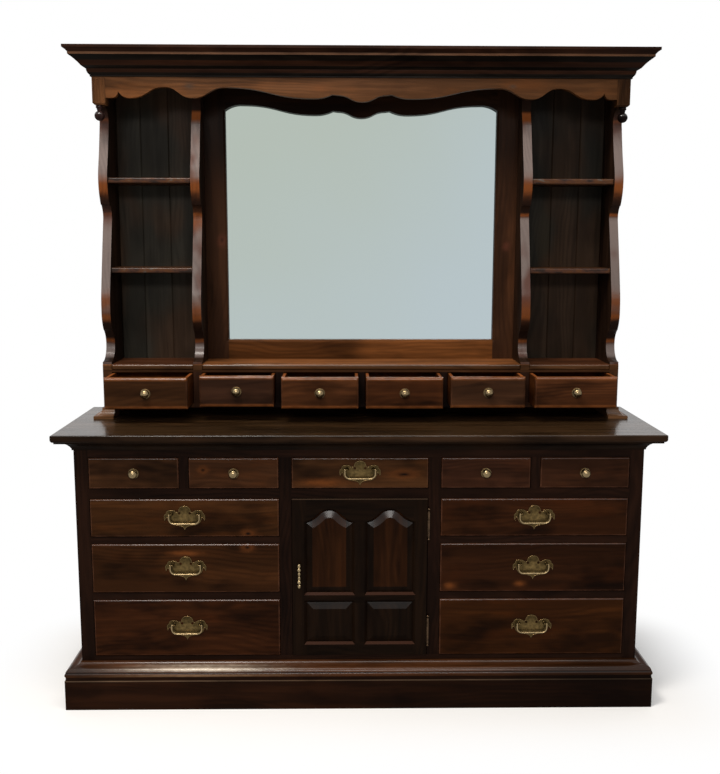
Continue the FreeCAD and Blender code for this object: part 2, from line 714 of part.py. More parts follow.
def panel_wire(x0, x1, z0, z1, inset, arched, y):
    """A door panel's outline, drawn in from its frame by the inset. An arch rises from z1 at its sides."""
    half = (x1 - x0) / 2
    middle = (x0 + x1) / 2
    side = half - inset
    low = z0 + inset
    outline = Outline(lambda u, v: Vector(middle + u, y, v), -side, low)
    outline.run(side, low)
    if not arched:
        outline.run(side, z1 - inset)
        outline.run(-side, z1 - inset)
        outline.run(-side, low)
        return Part.Wire(outline.edges)
    crown_up = ARCH_RISE - ARCH_CROWN_RADIUS
    flank_out, flank_up = flank_centre(half)
    flank = ARCH_FLANK_RADIUS + inset
    crown = ARCH_CROWN_RADIUS - inset
    shoulder = flank_up - math.sqrt(flank * flank - (flank_out - side) ** 2)
    lean = math.atan2(flank_out, flank_up - crown_up)
    touch = (crown * math.sin(lean), crown_up + crown * math.cos(lean))
    side_angle = math.atan2(side - flank_out, shoulder - flank_up)
    touch_angle = math.atan2(touch[0] - flank_out, touch[1] - flank_up)
    turn = math.remainder(touch_angle - side_angle, 2 * math.pi)
    belly = side_angle + turn / 2
    through = (flank_out + flank * math.sin(belly), flank_up + flank * math.cos(belly))
    outline.run(side, z1 + shoulder)
    outline.arc(through[0], z1 + through[1], touch[0], z1 + touch[1])
    outline.arc(0.0, z1 + crown_up + crown, -touch[0], z1 + touch[1])
    outline.arc(-through[0], z1 + through[1], -side, z1 + shoulder)
    outline.run(-side, low)
    return Part.Wire(outline.edges)


def bevelled_opening(near_wire, far_wire):
    """What a bevel round an opening takes away: a tapered solid between two outlines."""
    return Part.makeLoft([near_wire, far_wire], True, True)


def raised_panel(x0, x1, z0, z1, arched, face):
    """A flat panel whose middle is raised, with a bevel all round."""
    rear = face + DOOR_THICKNESS - PANEL_BACK_INSET
    tongue = rear - PANEL_THICKNESS
    back = Part.Face(panel_wire(x0, x1, z0, z1, 0.0, arched, rear)).extrude(Vector(0, -PANEL_THICKNESS, 0))
    base = panel_wire(x0, x1, z0, z1, PANEL_EDGE, arched, tongue)
    field = panel_wire(x0, x1, z0, z1, PANEL_BEVEL, arched, tongue - PANEL_FIELD)
    raised = Part.makeLoft([base, field], True, True)
    return back.fuse(raised)


DOOR_LEFT = -DOOR_HALF + FRONT_GAP
DOOR_RIGHT = DOOR_HALF - HINGE_GAP
DOOR_FOOT = DOOR_LOW + FRONT_GAP
DOOR_HEAD = DOOR_HIGH - FRONT_GAP


def door():
    """The cupboard door: stiles, rails, mullions, two arched panels and two square ones."""
    face = DRAWER_FACE
    rear = face + DOOR_THICKNESS
    left = DOOR_LEFT + DOOR_STILE
    right = DOOR_RIGHT - DOOR_STILE
    middle = (left + right) / 2
    lower = DOOR_FOOT + DOOR_BOTTOM_RAIL
    mid_low = lower + DOOR_LOWER_PANEL
    mid_high = mid_low + DOOR_MID_RAIL
    shoulder = DOOR_HEAD - DOOR_TOP_RAIL - ARCH_RISE
    frame = [block(DOOR_LEFT, left, face, rear, DOOR_FOOT, DOOR_HEAD)]
    frame.append(block(right, DOOR_RIGHT, face, rear, DOOR_FOOT, DOOR_HEAD))
    frame.append(block(left, right, face, rear, DOOR_FOOT, lower))
    frame.append(block(left, right, face, rear, mid_low, mid_high))
    half = DOOR_MULLION / 2
    bays = [(left, middle - half), (middle + half, right)]
    frame.append(block(middle - half, middle + half, face, rear, lower, mid_low))
    frame.append(block(middle - half, middle + half, face, rear, mid_high, shoulder))
    top_rail = block(left, right, face, rear, shoulder, DOOR_HEAD)
    panels = []
    bevels = []
    for x0, x1 in bays:
        hole = Part.Face(panel_wire(x0, x1, shoulder - ARCH_RISE, shoulder, 0.0, True, face))
        top_rail = top_rail.cut(hole.extrude(Vector(0, DOOR_THICKNESS, 0)))
        for low, high, arched in ((lower, mid_low, False), (mid_high, shoulder, True)):
            panels.append(raised_panel(x0, x1, low, high, arched, face))
            near = panel_wire(x0, x1, low, high, -DOOR_BEVEL - CUT_AHEAD, arched, face - CUT_AHEAD)
            far = panel_wire(x0, x1, low, high, 0.0, arched, face + DOOR_BEVEL)
            bevels.append(bevelled_opening(near, far))
    frame.append(top_rail)
    return [piece.cut(bevels) for piece in frame] + panels


def hinge_levels():
    """The foot of each hinge's lowest knuckle."""
    low = DOOR_LOW + HINGE_FROM_END - HINGE_LENGTH / 2
    high = DOOR_HIGH - HINGE_FROM_END - HINGE_LENGTH / 2
    return [low, high]


def knuckle(foot, bore):
    """One hinge knuckle, bored for the pin."""
    at = Vector(HINGE_X, HINGE_Y, foot)
    return Part.makeCylinder(BARREL_RADIUS, KNUCKLE_HEIGHT, at).cut(
        Part.makeCylinder(bore, KNUCKLE_HEIGHT, at))


def leaf(x0, tab_feet, foot, bore):
    """A hinge leaf in the gap beside the door, joined by tabs to its knuckles."""
    x1 = x0 + LEAF_THICKNESS
    near = DRAWER_FACE
    solid = block(x0, x1, near, near + LEAF_WIDTH, foot, foot + HINGE_LENGTH)
    for tab_foot in tab_feet:
        tab = block(x0, HINGE_X - HINGE_PIN_RADIUS, HINGE_Y, near, tab_foot, tab_foot + KNUCKLE_HEIGHT)
        keep_out = Part.makeCylinder(bore, KNUCKLE_HEIGHT, Vector(HINGE_X, HINGE_Y, tab_foot))
        solid = solid.fuse(tab.cut(keep_out)).fuse(knuckle(tab_foot, bore))
    return solid.removeSplitter()


def knuckle_feet(foot):
    """The foot of each of a hinge's three knuckles."""
    return [foot + index * (KNUCKLE_HEIGHT + KNUCKLE_GAP) for index in range(3)]


def hinge_pin(foot):
    """The pin through the three knuckles, with a ball finial at each end."""
    at = Vector(HINGE_X, HINGE_Y, foot)
    pin = Part.makeCylinder(HINGE_PIN_RADIUS, HINGE_LENGTH, at)
    place = lambda radius, up: Vector(HINGE_X + radius, HINGE_Y, up)
    for end, way in ((foot, -1), (foot + HINGE_LENGTH, 1)):
        collar = end + way * 0.2 * FINIAL_HEIGHT
        waist = end + way * 0.3 * FINIAL_HEIGHT
        belly = end + way * 0.6 * FINIAL_HEIGHT
        points = [(BARREL_RADIUS, end), (BARREL_RADIUS, collar), (0.5 * BARREL_RADIUS, waist),
                  (FINIAL_RADIUS, belly), dome(FINIAL_RADIUS, belly, end + way * FINIAL_HEIGHT)]
        pin = pin.fuse(turned(points, place, at, Vector(0, 0, 1)))
    return pin.removeSplitter()


def hinges():
    """The fixed halves of both hinges, with their pins."""
    solids = []
    for foot in hinge_levels():
        feet = knuckle_feet(foot)
        solids.append(leaf(DOOR_HALF - LEAF_THICKNESS, [feet[0], feet[2]], foot, HINGE_PIN_RADIUS))
        solids.append(hinge_pin(foot))
    return solids


def door_pull():
    """An upright pull of turned beads on two short posts."""
    x = DOOR_LEFT + DOOR_STILE / 2
    y = DRAWER_FACE - PULL_STANDOFF
    foot = (DOOR_LOW + DOOR_HIGH) / 2 + PULL_ABOVE_MIDDLE - PULL_LENGTH / 2
    bead = PULL_LENGTH / len(PULL_BEADS)
    points = [(0.5 * PULL_BEADS[0], foot)]
    for index, radius in enumerate(PULL_BEADS):
        low = foot + index * bead
        points.append((radius, low + bead / 2, 0.5 * radius, low + bead))
    body = turned(points, lambda radius, up: Vector(x + radius, y, up), Vector(x, y, foot), Vector(0, 0, 1))
    for height in (foot + PULL_POST_FROM_END, foot + PULL_LENGTH - PULL_POST_FROM_END):
        post = Part.makeCylinder(PULL_POST_RADIUS, PULL_STANDOFF, Vector(x, y, height), Vector(0, 1, 0))
        body = body.fuse(post)
    return body.removeSplitter()


def door_hardware():
    """The door's hinge leaves and its pull."""
    bore = HINGE_PIN_RADIUS + HINGE_PIN_CLEARANCE
    solids = [leaf(DOOR_RIGHT, [knuckle_feet(foot)[1]], foot, bore) for foot in hinge_levels()]
    solids.append(door_pull())
    return solids


def foot_section(place, inner):
    """A foot's section: a lip on the floor, a cove and a step under the case."""
    low = DRESSER_HEIGHT
    high = FLOOR_LOW
    width = FOOT_REACH - FOOT_STEP
    height = high - FOOT_STEP - low - FOOT_LIP
    outline = Outline(place, inner, low)
    outline.run(FOOT_REACH, low)
    outline.run(FOOT_REACH, low + FOOT_LIP)
    outline.arc(FOOT_STEP + 0.32 * width, low + FOOT_LIP + 0.25 * height, FOOT_STEP, high - FOOT_STEP)
    outline.run(FOOT_STEP, high)
    outline.run(inner, high)
    return outline.face()


def hutch_foot():
    """A moulded foot under an outer side, with the moulding returned across its front."""
    front = HUTCH_FRONT - FOOT_REACH
    along = foot_section(lambda reach, z: Vector(HUTCH_HALF + reach, front, z), FOOT_REACH - FOOT_WIDTH)
    along = along.extrude(Vector(0, CASE_REAR - front, 0))
    inner = HUTCH_HALF + FOOT_REACH - FOOT_WIDTH
    across = foot_section(lambda reach, z: Vector(inner, HUTCH_FRONT - reach, z), -HUTCH_DEPTH)
    across = across.extrude(Vector(FOOT_WIDTH, 0, 0))
    return along.common(across)


def divider_spans():
    """The left and right face of each divider in the right half, and of the middle one."""
    middle = (-MIDDLE_DIVIDER / 2, MIDDLE_DIVIDER / 2)
    side = (SIDE_DIVIDER_X - SIDE_DIVIDER / 2, SIDE_DIVIDER_X + SIDE_DIVIDER / 2)
    outer = (TOWER_INSIDE, TOWER_INNER_FACE)
    return [middle, side, outer]


HUTCH_REAR_INSIDE = CASE_REAR - HUTCH_BACK_BOARD


def covering(x0, x1):
    """The ceiling over the small drawers from x0 to x1, and the rounded shelf board on it."""
    ceiling = block(x0, x1, HUTCH_FRONT, HUTCH_REAR_INSIDE, CELL_HIGH, SHELF_LOW)
    shelf = rounded_block(x0, x1, HUTCH_FRONT + SHELF_BOARD_SETBACK, HUTCH_REAR_INSIDE,
                          SHELF_LOW, SHELF_HIGH, EDGE_ROUND)
    return [ceiling, shelf]


def hutch_drawer_case():
    """The small-drawer case: feet, rear rail, floor, back, uprights, dividers, and above each part between
    the uprights its ceiling and shelf board.
    """
    half = HUTCH_HALF
    solids = [block(-half, half, HUTCH_FRONT, HUTCH_REAR_INSIDE, FLOOR_LOW, CELL_LOW)]
    between_feet = half + FOOT_REACH - FOOT_WIDTH
    solids.append(block(-between_feet, between_feet, HUTCH_REAR_INSIDE, CASE_REAR, DRESSER_HEIGHT, FLOOR_LOW))
    solids.append(block(-half, half, HUTCH_REAR_INSIDE, CASE_REAR, FLOOR_LOW, SHELF_HIGH))
    solids += covering(-TOWER_INSIDE, TOWER_INSIDE)
    middle, side, outer = divider_spans()
    solids.append(block(middle[0], middle[1], HUTCH_FRONT, HUTCH_REAR_INSIDE, CELL_LOW, CELL_HIGH))
    paired = [block(side[0], side[1], HUTCH_FRONT, HUTCH_REAR_INSIDE, CELL_LOW, CELL_HIGH)]
    paired.append(block(outer[0], outer[1], HUTCH_FRONT, HUTCH_REAR_INSIDE, CELL_LOW, SHELF_HIGH))
    paired.append(block(HUTCH_INSIDE, half, HUTCH_FRONT, HUTCH_REAR_INSIDE, CELL_LOW, SHELF_HIGH))
    paired += covering(outer[1], HUTCH_INSIDE)
    paired.append(hutch_foot())
    return solids + both_sides(paired)


def hutch_cells():
    """The left and right limit of each small drawer's cell, from left to right."""
    middle, side, outer = divider_spans()
    right = [(middle[1], side[0]), (side[1], outer[0]), (outer[1], HUTCH_INSIDE)]
    left = [(-x1, -x0) for x0, x1 in reversed(right)]
    return left + right


def hutch_face(index):
    """Where a small drawer's face stands, pulled out as it rests."""
    return HUTCH_FRONT - FRONT_PROUD - PULLED_OUT[index]


def hutch_drawer(index):
    """A small drawer, just above the floor of its cell."""
    x0, x1 = hutch_cells()[index]
    low = CELL_LOW - FRONT_GAP + SLIDE_GAP
    return drawer(x0, x1, low, CELL_HIGH, hutch_face(index), HUTCH_DRAWER_LENGTH, HUTCH_DRAWER_SIDE,
                  HUTCH_FRONT_THICKNESS, HUTCH_FRONT_ROUND, HUTCH_BOX_BELOW_FRONT)


def tower_side(x0, canopy_face):
    """A tower's side board. Its front edge has a notch, two long lobes and a scoop.

    Each lobe is an arc through its first point to its second. The scoop comes forward to the canopy's
    face where there is one, and else falls back.
    """
    stretch = (TOWER_HEIGHT - CORNER_POST_HEIGHT) / SIDE_CURVE_HEIGHT
    rear = HUTCH_REAR_INSIDE
    outline = Outline(lambda y, z: Vector(x0, y, z), rear, SHELF_HIGH)

    def point(setback, up):
        """A point given by its setback from the hutch's front and its height up the drawn curve."""
        return HUTCH_FRONT + setback, SHELF_HIGH + stretch * up

    outline.run(HUTCH_FRONT + SIDE_FOOT_SETBACK, SHELF_HIGH)
    outline.run(*point(SIDE_FOOT_SETBACK, SIDE_FOOT_HEIGHT))
    for lobe in SIDE_LOWER_LOBES:
        outline.arc(*point(*lobe[:2]), *point(*lobe[2:]))
    outline.run(*point(*SIDE_NOSE))
    for lobe in SIDE_UPPER_LOBES:
        outline.arc(*point(*lobe[:2]), *point(*lobe[2:]))
    if canopy_face is None:
        outline.arc(*point(*SIDE_INNER_HEAD[:2]), *point(*SIDE_INNER_HEAD[2:]))
        outline.run(HUTCH_FRONT + SIDE_INNER_HEAD[2], TOWER_TOP)
    else:
        outline.arc(*point(*SIDE_SCOOP), *point(canopy_face - HUTCH_FRONT, SIDE_CURVE_HEIGHT))
        outline.run(canopy_face, TOWER_TOP)
    outline.run(rear, TOWER_TOP)
    return outline.face().extrude(Vector(HUTCH_BOARD, 0, 0))


def tower_sides():
    return both_sides([tower_side(HUTCH_INSIDE, POST_REAR), tower_side(TOWER_INSIDE, None)])


def tower_shelves():
    """Two shelves in each tower, rounded along the front."""
    paired = []
    for up in TOWER_SHELVES_UP:
        low = SHELF_HIGH + up
        paired.append(rounded_block(TOWER_INNER_FACE, HUTCH_INSIDE, HUTCH_FRONT + TOWER_SHELF_SETBACK,
                                    PLANK_FACE, low, low + TOWER_SHELF, EDGE_ROUND))
    return both_sides(paired)


def plank(x0, x1):
    """A back plank with its two upright front arrises bevelled."""
    rear = PLANK_FACE + PLANK_THICKNESS
    bevel = PLANK_CHAMFER
    plan = [(x0, rear), (x0, PLANK_FACE + bevel), (x0 + bevel, PLANK_FACE),
            (x1 - bevel, PLANK_FACE), (x1, PLANK_FACE + bevel), (x1, rear)]
    return flat_prism(plan, SHELF_HIGH, TOWER_TOP)


def hutch_backs():
    """Planks behind the shelves and one board behind the mirror."""
    paired = []
    count = math.ceil((HUTCH_INSIDE - TOWER_INNER_FACE) / PLANK_WIDTH)
    for index in range(count):
        x0 = TOWER_INNER_FACE + index * PLANK_WIDTH
        paired.append(plank(x0, min(x0 + PLANK_WIDTH, HUTCH_INSIDE)))
    glass_rear = MIRROR_REAR + GLASS_THICKNESS
    board = block(-TOWER_INSIDE, TOWER_INSIDE, glass_rear, glass_rear + MIRROR_BACKING,
                  SHELF_HIGH, TOWER_TOP)
    return both_sides(paired) + [board]


def scallop_middle(outline, low):
    """The right half of the middle scallop, inwards: up to a notch, a step, and a rounded pendant."""
    through_x = 0.43 * WAVE_LOW_X + 0.57 * NOTCH_X
    outline.arc(through_x, low + 0.3 * NOTCH_RISE, NOTCH_X, low + NOTCH_RISE)
    outline.run(PENDANT_X, low + PENDANT_RISE)
    outline.ogee(0.0, low - PENDANT_DROP)


def glass_wire(outset, high, y):
    """The glass opening's outline up to the top rail, drawn out over the frame by the outset."""
    x = GLASS_HALF + outset
    z = SHELF_HIGH + MIRROR_BOTTOM_RAIL - outset
    return Part.makePolygon([Vector(-x, y, z), Vector(x, y, z), Vector(x, y, high), Vector(-x, y, high),
                             Vector(-x, y, z)])


def mirror_frame():
    """Stiles, bottom rail and scalloped top rail."""
    rail_top = SHELF_HIGH + MIRROR_BOTTOM_RAIL
    low = TOWER_TOP - MIRROR_TOP_RAIL
    high = low + MIRROR_WAVE
    shoulder = low + 0.45 * MIRROR_WAVE
    stile = block(GLASS_HALF, TOWER_INSIDE, MIRROR_FACE, MIRROR_REAR, SHELF_HIGH, TOWER_TOP)
    bottom = block(-GLASS_HALF, GLASS_HALF, MIRROR_FACE, MIRROR_REAR, SHELF_HIGH, rail_top)
    outline = Outline(lambda u, v: Vector(u, MIRROR_FACE, v), 0.0, TOWER_TOP)
    outline.run(GLASS_HALF, TOWER_TOP)
    outline.run(GLASS_HALF, shoulder)
    outline.arc(GLASS_HALF - 0.4 * MIRROR_SHOULDER, high - 0.15 * MIRROR_WAVE,
                GLASS_HALF - MIRROR_SHOULDER, high)
    outline.ogee(WAVE_LOW_X, low)
    scallop_middle(outline, low)
    half = outline.face().extrude(Vector(0, MIRROR_FRAME_THICKNESS, 0))
    top = half.fuse(mirrored(half)).removeSplitter()
    bevel = bevelled_opening(glass_wire(MIRROR_BEVEL + CUT_AHEAD, shoulder, MIRROR_FACE - CUT_AHEAD),
                             glass_wire(0.0, shoulder, MIRROR_FACE + MIRROR_BEVEL))
    return [piece.cut(bevel) for piece in both_sides([stile]) + [bottom]] + [top]


def mirror_glass():
    half = GLASS_HALF + GLASS_LAP
    low = SHELF_HIGH + MIRROR_BOTTOM_RAIL - GLASS_LAP
    return [block(-half, half, MIRROR_REAR, MIRROR_REAR + GLASS_THICKNESS, low, TOWER_TOP - GLASS_LAP)]


def valance():
    """The scalloped board across the front, between the corner posts."""
    end = HUTCH_HALF - CORNER_POST
    low = TOWER_TOP - VALANCE_DEPTH
    high = low + VALANCE_WAVE
    first, second, third, last = [end - offset for offset in VALANCE_LOBES]
    cusp = end - VALANCE_CUSP
    cusp_high = low + 0.6 * VALANCE_WAVE
    through_z = low + 0.25 * (cusp_high - low)
    outline = Outline(lambda u, v: Vector(u, VALANCE_FRONT, v), 0.0, TOWER_TOP)
    outline.run(end, TOWER_TOP)
    outline.run(end, low)
    outline.run(end - VALANCE_FLAT, low)
    outline.arc(cusp + (VALANCE_CUSP - VALANCE_FLAT) / 3, through_z, cusp, cusp_high)
    outline.arc(cusp - 0.37 * (cusp - first), through_z, first, low)
    outline.ogee(second, high)
    outline.ogee(third, low)
    outline.ogee(last, high)
    outline.ogee(WAVE_LOW_X, low)
    scallop_middle(outline, low)
    half = outline.face().extrude(Vector(0, VALANCE_THICKNESS, 0))
    return [half.fuse(mirrored(half)).removeSplitter()]


def corner_post():
    """A reeded block at a front corner, with grooves down its front and outer faces."""
    x0 = HUTCH_HALF - CORNER_POST
    y0 = CANOPY_FRONT
    low = TOWER_TOP - CORNER_POST_HEIGHT
    solid = block(x0, HUTCH_HALF, y0, POST_REAR, low, TOWER_TOP)
    foot_edges = [edge for edge in solid.Edges if abs(edge.BoundBox.ZMax - low) < SAME_PLACE]
    shown = [edge for edge in foot_edges if abs(edge.BoundBox.YMax - y0) < SAME_PLACE
             or abs(edge.BoundBox.XMin - HUTCH_HALF) < SAME_PLACE]
    solid = solid.makeChamfer(CORNER_POST_CHAMFER, shown)
    pitch = CORNER_POST / (REEDS + 1)
    groove_low = low + pitch
    groove_length = TOWER_TOP - pitch - groove_low
    for index in range(1, REEDS + 1):
        for at in (Vector(x0 + index * pitch, y0 - REED_SHIFT, groove_low),
                   Vector(HUTCH_HALF + REED_SHIFT, y0 + index * pitch, groove_low)):
            solid = solid.cut(Part.makeCylinder(REED_RADIUS, groove_length, at))
    return solid


def drop_finial():
    """A turned drop under a corner post: collar, neck and ball."""
    x = HUTCH_HALF - CORNER_POST / 2 + DROP_SHIFT
    y = CANOPY_FRONT + CORNER_POST / 2
    top = TOWER_TOP - CORNER_POST_HEIGHT
    ball = DROP_BALL_RADIUS
    end = top - DROP_LENGTH
    neck = end + 1.88 * ball
    collar = 0.62 * ball
    collar_low = top - 0.2 * DROP_LENGTH
    tip_radius = ball * math.sin(DROP_TIP_ANGLE)
    tip_base = end + ball * (1 - math.cos(DROP_TIP_ANGLE))
    points = [(collar, top), (collar, top - 0.06 * DROP_LENGTH),
              (1.12 * collar, (top + collar_low) / 2, 0.85 * collar, collar_low),
              (0.5 * ball, collar_low - 0.08 * DROP_LENGTH), (0.42 * ball, neck),
              (ball, end + ball, tip_radius, tip_base), dome(tip_radius, tip_base, end)]
    place = lambda radius, z: Vector(x + radius, y, z)
    return turned(points, place, Vector(x, y, top), Vector(0, 0, 1))


def corner_posts():
    return both_sides([corner_post(), drop_finial()])


def crown_section(place):
    """From the top down: fillet, small cove, band, soffit, wide cove, step, swelling bed mould and foot.

    The slanting parts are given by their width and height, and a cove also by the share of its length
    that it is hollowed by.
    """
    low = TOWER_TOP
    reach = CROWN_REACH
    level = low + CROWN_HEIGHT
    outline = Outline(place, 0.0, level)
    outline.run(reach, level)
    level -= CROWN_TOP_FILLET
    outline.run(reach, level)
    reach -= CROWN_LIP
    outline.run(reach, level)
    reach -= CROWN_SMALL_COVE[0]
    level -= CROWN_SMALL_COVE[1]
    outline.bow(reach, level, -CROWN_SMALL_COVE_SHARE)
    level -= CROWN_BAND
    outline.run(reach, level)
    reach -= CROWN_SOFFIT[0]
    level -= CROWN_SOFFIT[1]
    outline.run(reach, level)
    reach -= CROWN_COVE[0]
    level -= CROWN_COVE[1]
    outline.bow(reach, level, -CROWN_COVE_SHARE)
    reach -= CROWN_STEP[0]
    level -= CROWN_STEP[1]
    outline.run(reach, level)
    outline.bow(CROWN_FOOT, low + CROWN_FOOT, CROWN_BED_SHARE)
    outline.run(CROWN_FOOT, low)
    outline.run(0.0, low)
    return outline.face()


def crown():
    """The roof board, the mitred crown moulding and the rails that carry it."""
    roof_high = TOWER_TOP + ROOF_BOARD
    high = TOWER_TOP + CROWN_HEIGHT
    half = HUTCH_HALF
    inner = half - CROWN_RAIL
    solids = [block(-half, half, CANOPY_FRONT, CASE_REAR, TOWER_TOP, roof_high)]
    solids += mitred_runs(crown_section, 0.0, CROWN_REACH, half, CANOPY_FRONT, CASE_REAR)
    solids.append(block(-half, half, CANOPY_FRONT, CANOPY_FRONT + CROWN_RAIL, roof_high, high))
    solids.append(block(-inner, inner, CASE_REAR - CROWN_RAIL, CASE_REAR, roof_high, high))
    side_rail = block(inner, half, CANOPY_FRONT + CROWN_RAIL, CASE_REAR, roof_high, high)
    return solids + both_sides([side_rail])


def fixed_nodes():
    """Every piece that stays still."""
    return {
        "plinth": plinth(),
        "case_sides": case_sides(),
        "case_back": case_back(),
        "case_partitions": case_partitions(),
        "drawer_runners": drawer_runners(),
        "face_frame": face_frame(),
        "dresser_top": dresser_top(),
        "door_hinges": hinges(),
        "hutch_drawer_case": hutch_drawer_case(),
        "tower_sides": tower_sides(),
        "tower_shelves": tower_shelves(),
        "hutch_backs": hutch_backs(),
        "mirror_frame": mirror_frame(),
        "mirror_glass": mirror_glass(),
        "valance": valance(),
        "corner_posts": corner_posts(),
        "crown": crown(),
    }


def small_openings():
    """The limits of the four small top drawers' openings, from left to right."""
    right = [(BANK_IN, MUNTIN_IN), (MUNTIN_OUT, BANK_OUT)]
    left = [(-x1, -x0) for x0, x1 in reversed(right)]
    return left + right


def knobbed_drawers():
    """The four small top drawers and the six hutch drawers, with their knobs."""
    nodes = {}
    middle = (SMALL_LOW + SMALL_HIGH) / 2
    for index, (x0, x1) in enumerate(small_openings()):
        nodes["small_drawer_%d" % (index + 1)] = base_drawer(x0, x1, ROWS[-1])
        nodes["small_knob_%d" % (index + 1)] = knob((x0 + x1) / 2, DRAWER_FACE, middle)
    cell_middle = (CELL_LOW + CELL_HIGH) / 2
    for index, (x0, x1) in enumerate(hutch_cells()):
        nodes["hutch_drawer_%d" % (index + 1)] = hutch_drawer(index)
        nodes["hutch_knob_%d" % (index + 1)] = knob((x0 + x1) / 2, hutch_face(index), cell_middle)
    return nodes


def pulled_openings():
    """The drawers with a plate and bail: name, opening and level. The banks run from the top down."""
    openings = [("centre", -DOOR_HALF, DOOR_HALF, ROWS[-1])]
    for number, level in enumerate(reversed(ROWS[:-1]), 1):
        openings.append(("left_%d" % number, -BANK_OUT, -BANK_IN, level))
        openings.append(("right_%d" % number, BANK_IN, BANK_OUT, level))
    return openings


def pulled_drawers():
    """The centre drawer and the six bank drawers, with their plates and bails."""
    nodes = {}
    for name, x0, x1, level in pulled_openings():
        x = (x0 + x1) / 2
        z = pull_height(level)
        nodes[name + "_drawer"] = base_drawer(x0, x1, level)
        nodes[name + "_pull_plate"] = pull_plate(x, DRAWER_FACE, z)
        nodes[name + "_bail"] = bail(x, DRAWER_FACE, z)
    return nodes


def pull_height(level):
    """The height of a bail's pins, which centres the plate on its drawer."""
    return (level[0] + level[1]) / 2 + (PLATE_PENDANT - PLATE_CROWN) / 2


def all_nodes():
    nodes = fixed_nodes()
    nodes.update(knobbed_drawers())
    nodes.update(pulled_drawers())
    nodes["door"] = door()
    nodes["door_hardware"] = door_hardware()
    return nodes


HUTCH_NAMES = ("hutch_", "tower_", "mirror_", "valance", "corner_posts", "crown")


def placed(name, solids):
    """The solids where they stand: those of the hutch are moved by its shift."""
    if name.startswith(HUTCH_NAMES):
        return [solid.translated(Vector(HUTCH_SHIFT, 0, 0)) for solid in solids]
    return solids


NODES = {name: placed(name, solids) for name, solids in all_nodes().items()}
for node_name, node_solids in NODES.items():
    shape = node_solids[0] if len(node_solids) == 1 else Part.makeCompound(node_solids)
    shape.exportStep("parts/%s.step" % node_name)
print(len(NODES), "nodes")
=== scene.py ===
import math

import bpy
import numpy as np
from mathutils import Matrix, Vector


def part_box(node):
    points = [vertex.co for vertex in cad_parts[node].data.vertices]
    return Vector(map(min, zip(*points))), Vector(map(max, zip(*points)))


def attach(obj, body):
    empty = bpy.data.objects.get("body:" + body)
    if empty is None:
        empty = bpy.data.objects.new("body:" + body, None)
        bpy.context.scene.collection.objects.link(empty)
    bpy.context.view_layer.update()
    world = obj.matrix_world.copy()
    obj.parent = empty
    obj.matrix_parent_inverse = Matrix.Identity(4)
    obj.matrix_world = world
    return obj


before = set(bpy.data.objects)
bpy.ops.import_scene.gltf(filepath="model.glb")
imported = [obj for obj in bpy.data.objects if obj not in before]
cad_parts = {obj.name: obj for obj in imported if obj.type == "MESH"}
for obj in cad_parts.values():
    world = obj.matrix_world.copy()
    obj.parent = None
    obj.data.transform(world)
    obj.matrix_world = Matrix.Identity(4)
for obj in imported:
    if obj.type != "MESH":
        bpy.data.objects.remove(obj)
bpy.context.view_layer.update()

# Camera and lamps

# The camera stands a little left of the dresser's middle, at eye height, and looks slightly down
CAMERA_AT = (-0.0452154, -3.0095097, 1.3912131)
CAMERA_TURN = 0.01584444
CAMERA_DOWN = 0.14942843
CAMERA_ROLL = 0.00195378
CAMERA_LENS = 45.586
CAMERA_SENSOR = 36.0
CAMERA_SHIFT = 0.0017


def make_camera():
    """A camera whose axes come from its turn, its tilt down and its roll."""
    flat = math.cos(CAMERA_DOWN)
    ahead = Vector((math.sin(CAMERA_TURN) * flat, math.cos(CAMERA_TURN) * flat, -math.sin(CAMERA_DOWN)))
    level = Vector((math.cos(CAMERA_TURN), -math.sin(CAMERA_TURN), 0.0))
    upright = level.cross(ahead)
    right = level * math.cos(CAMERA_ROLL) + upright * math.sin(CAMERA_ROLL)
    up = upright * math.cos(CAMERA_ROLL) - level * math.sin(CAMERA_ROLL)
    data = bpy.data.cameras.new("front_camera")
    data.lens = CAMERA_LENS
    data.sensor_width = CAMERA_SENSOR
    data.shift_y = CAMERA_SHIFT
    camera = bpy.data.objects.new("front_camera", data)
    turn = Matrix((right, up, -ahead)).transposed().to_4x4()
    camera.matrix_world = Matrix.Translation(CAMERA_AT) @ turn
    bpy.context.scene.collection.objects.link(camera)
    bpy.context.scene.camera = camera


# Each lamp's place, aim, width, depth, watts and tint
LAMPS = {"overhead_lamp": ((0.0, -1.5, 4.0), (0.0, -0.1, 1.2), 3.2, 0.6, 45.0, (1.0, 0.94, 0.86)),
         "side_lamp": ((-1.05, -1.5, 4.0), (-0.6, -0.1, 0.4), 0.9, 1.0, 80.0, (1.0, 0.94, 0.87)),
         "front_lamp": ((-0.3, -5.6, 3.3), (0.0, 0.0, 1.0), 3.6, 0.7, 150.0, (1.0, 0.98, 0.95))}


def add_lamp(name, at, aim, width, depth, watts, tint):
    """A rectangular soft lamp at a point, turned to another."""
    data = bpy.data.lights.new(name, "AREA")
    data.shape = "RECTANGLE"
    data.size = width
    data.size_y = depth
    data.energy = watts
    data.color = tint
    lamp = bpy.data.objects.new(name, data)
    way = Vector(aim) - Vector(at)
    lamp.matrix_world = Matrix.Translation(at) @ way.to_track_quat("-Z", "Y").to_matrix().to_4x4()
    bpy.context.scene.collection.objects.link(lamp)


# Short ways to build node trees

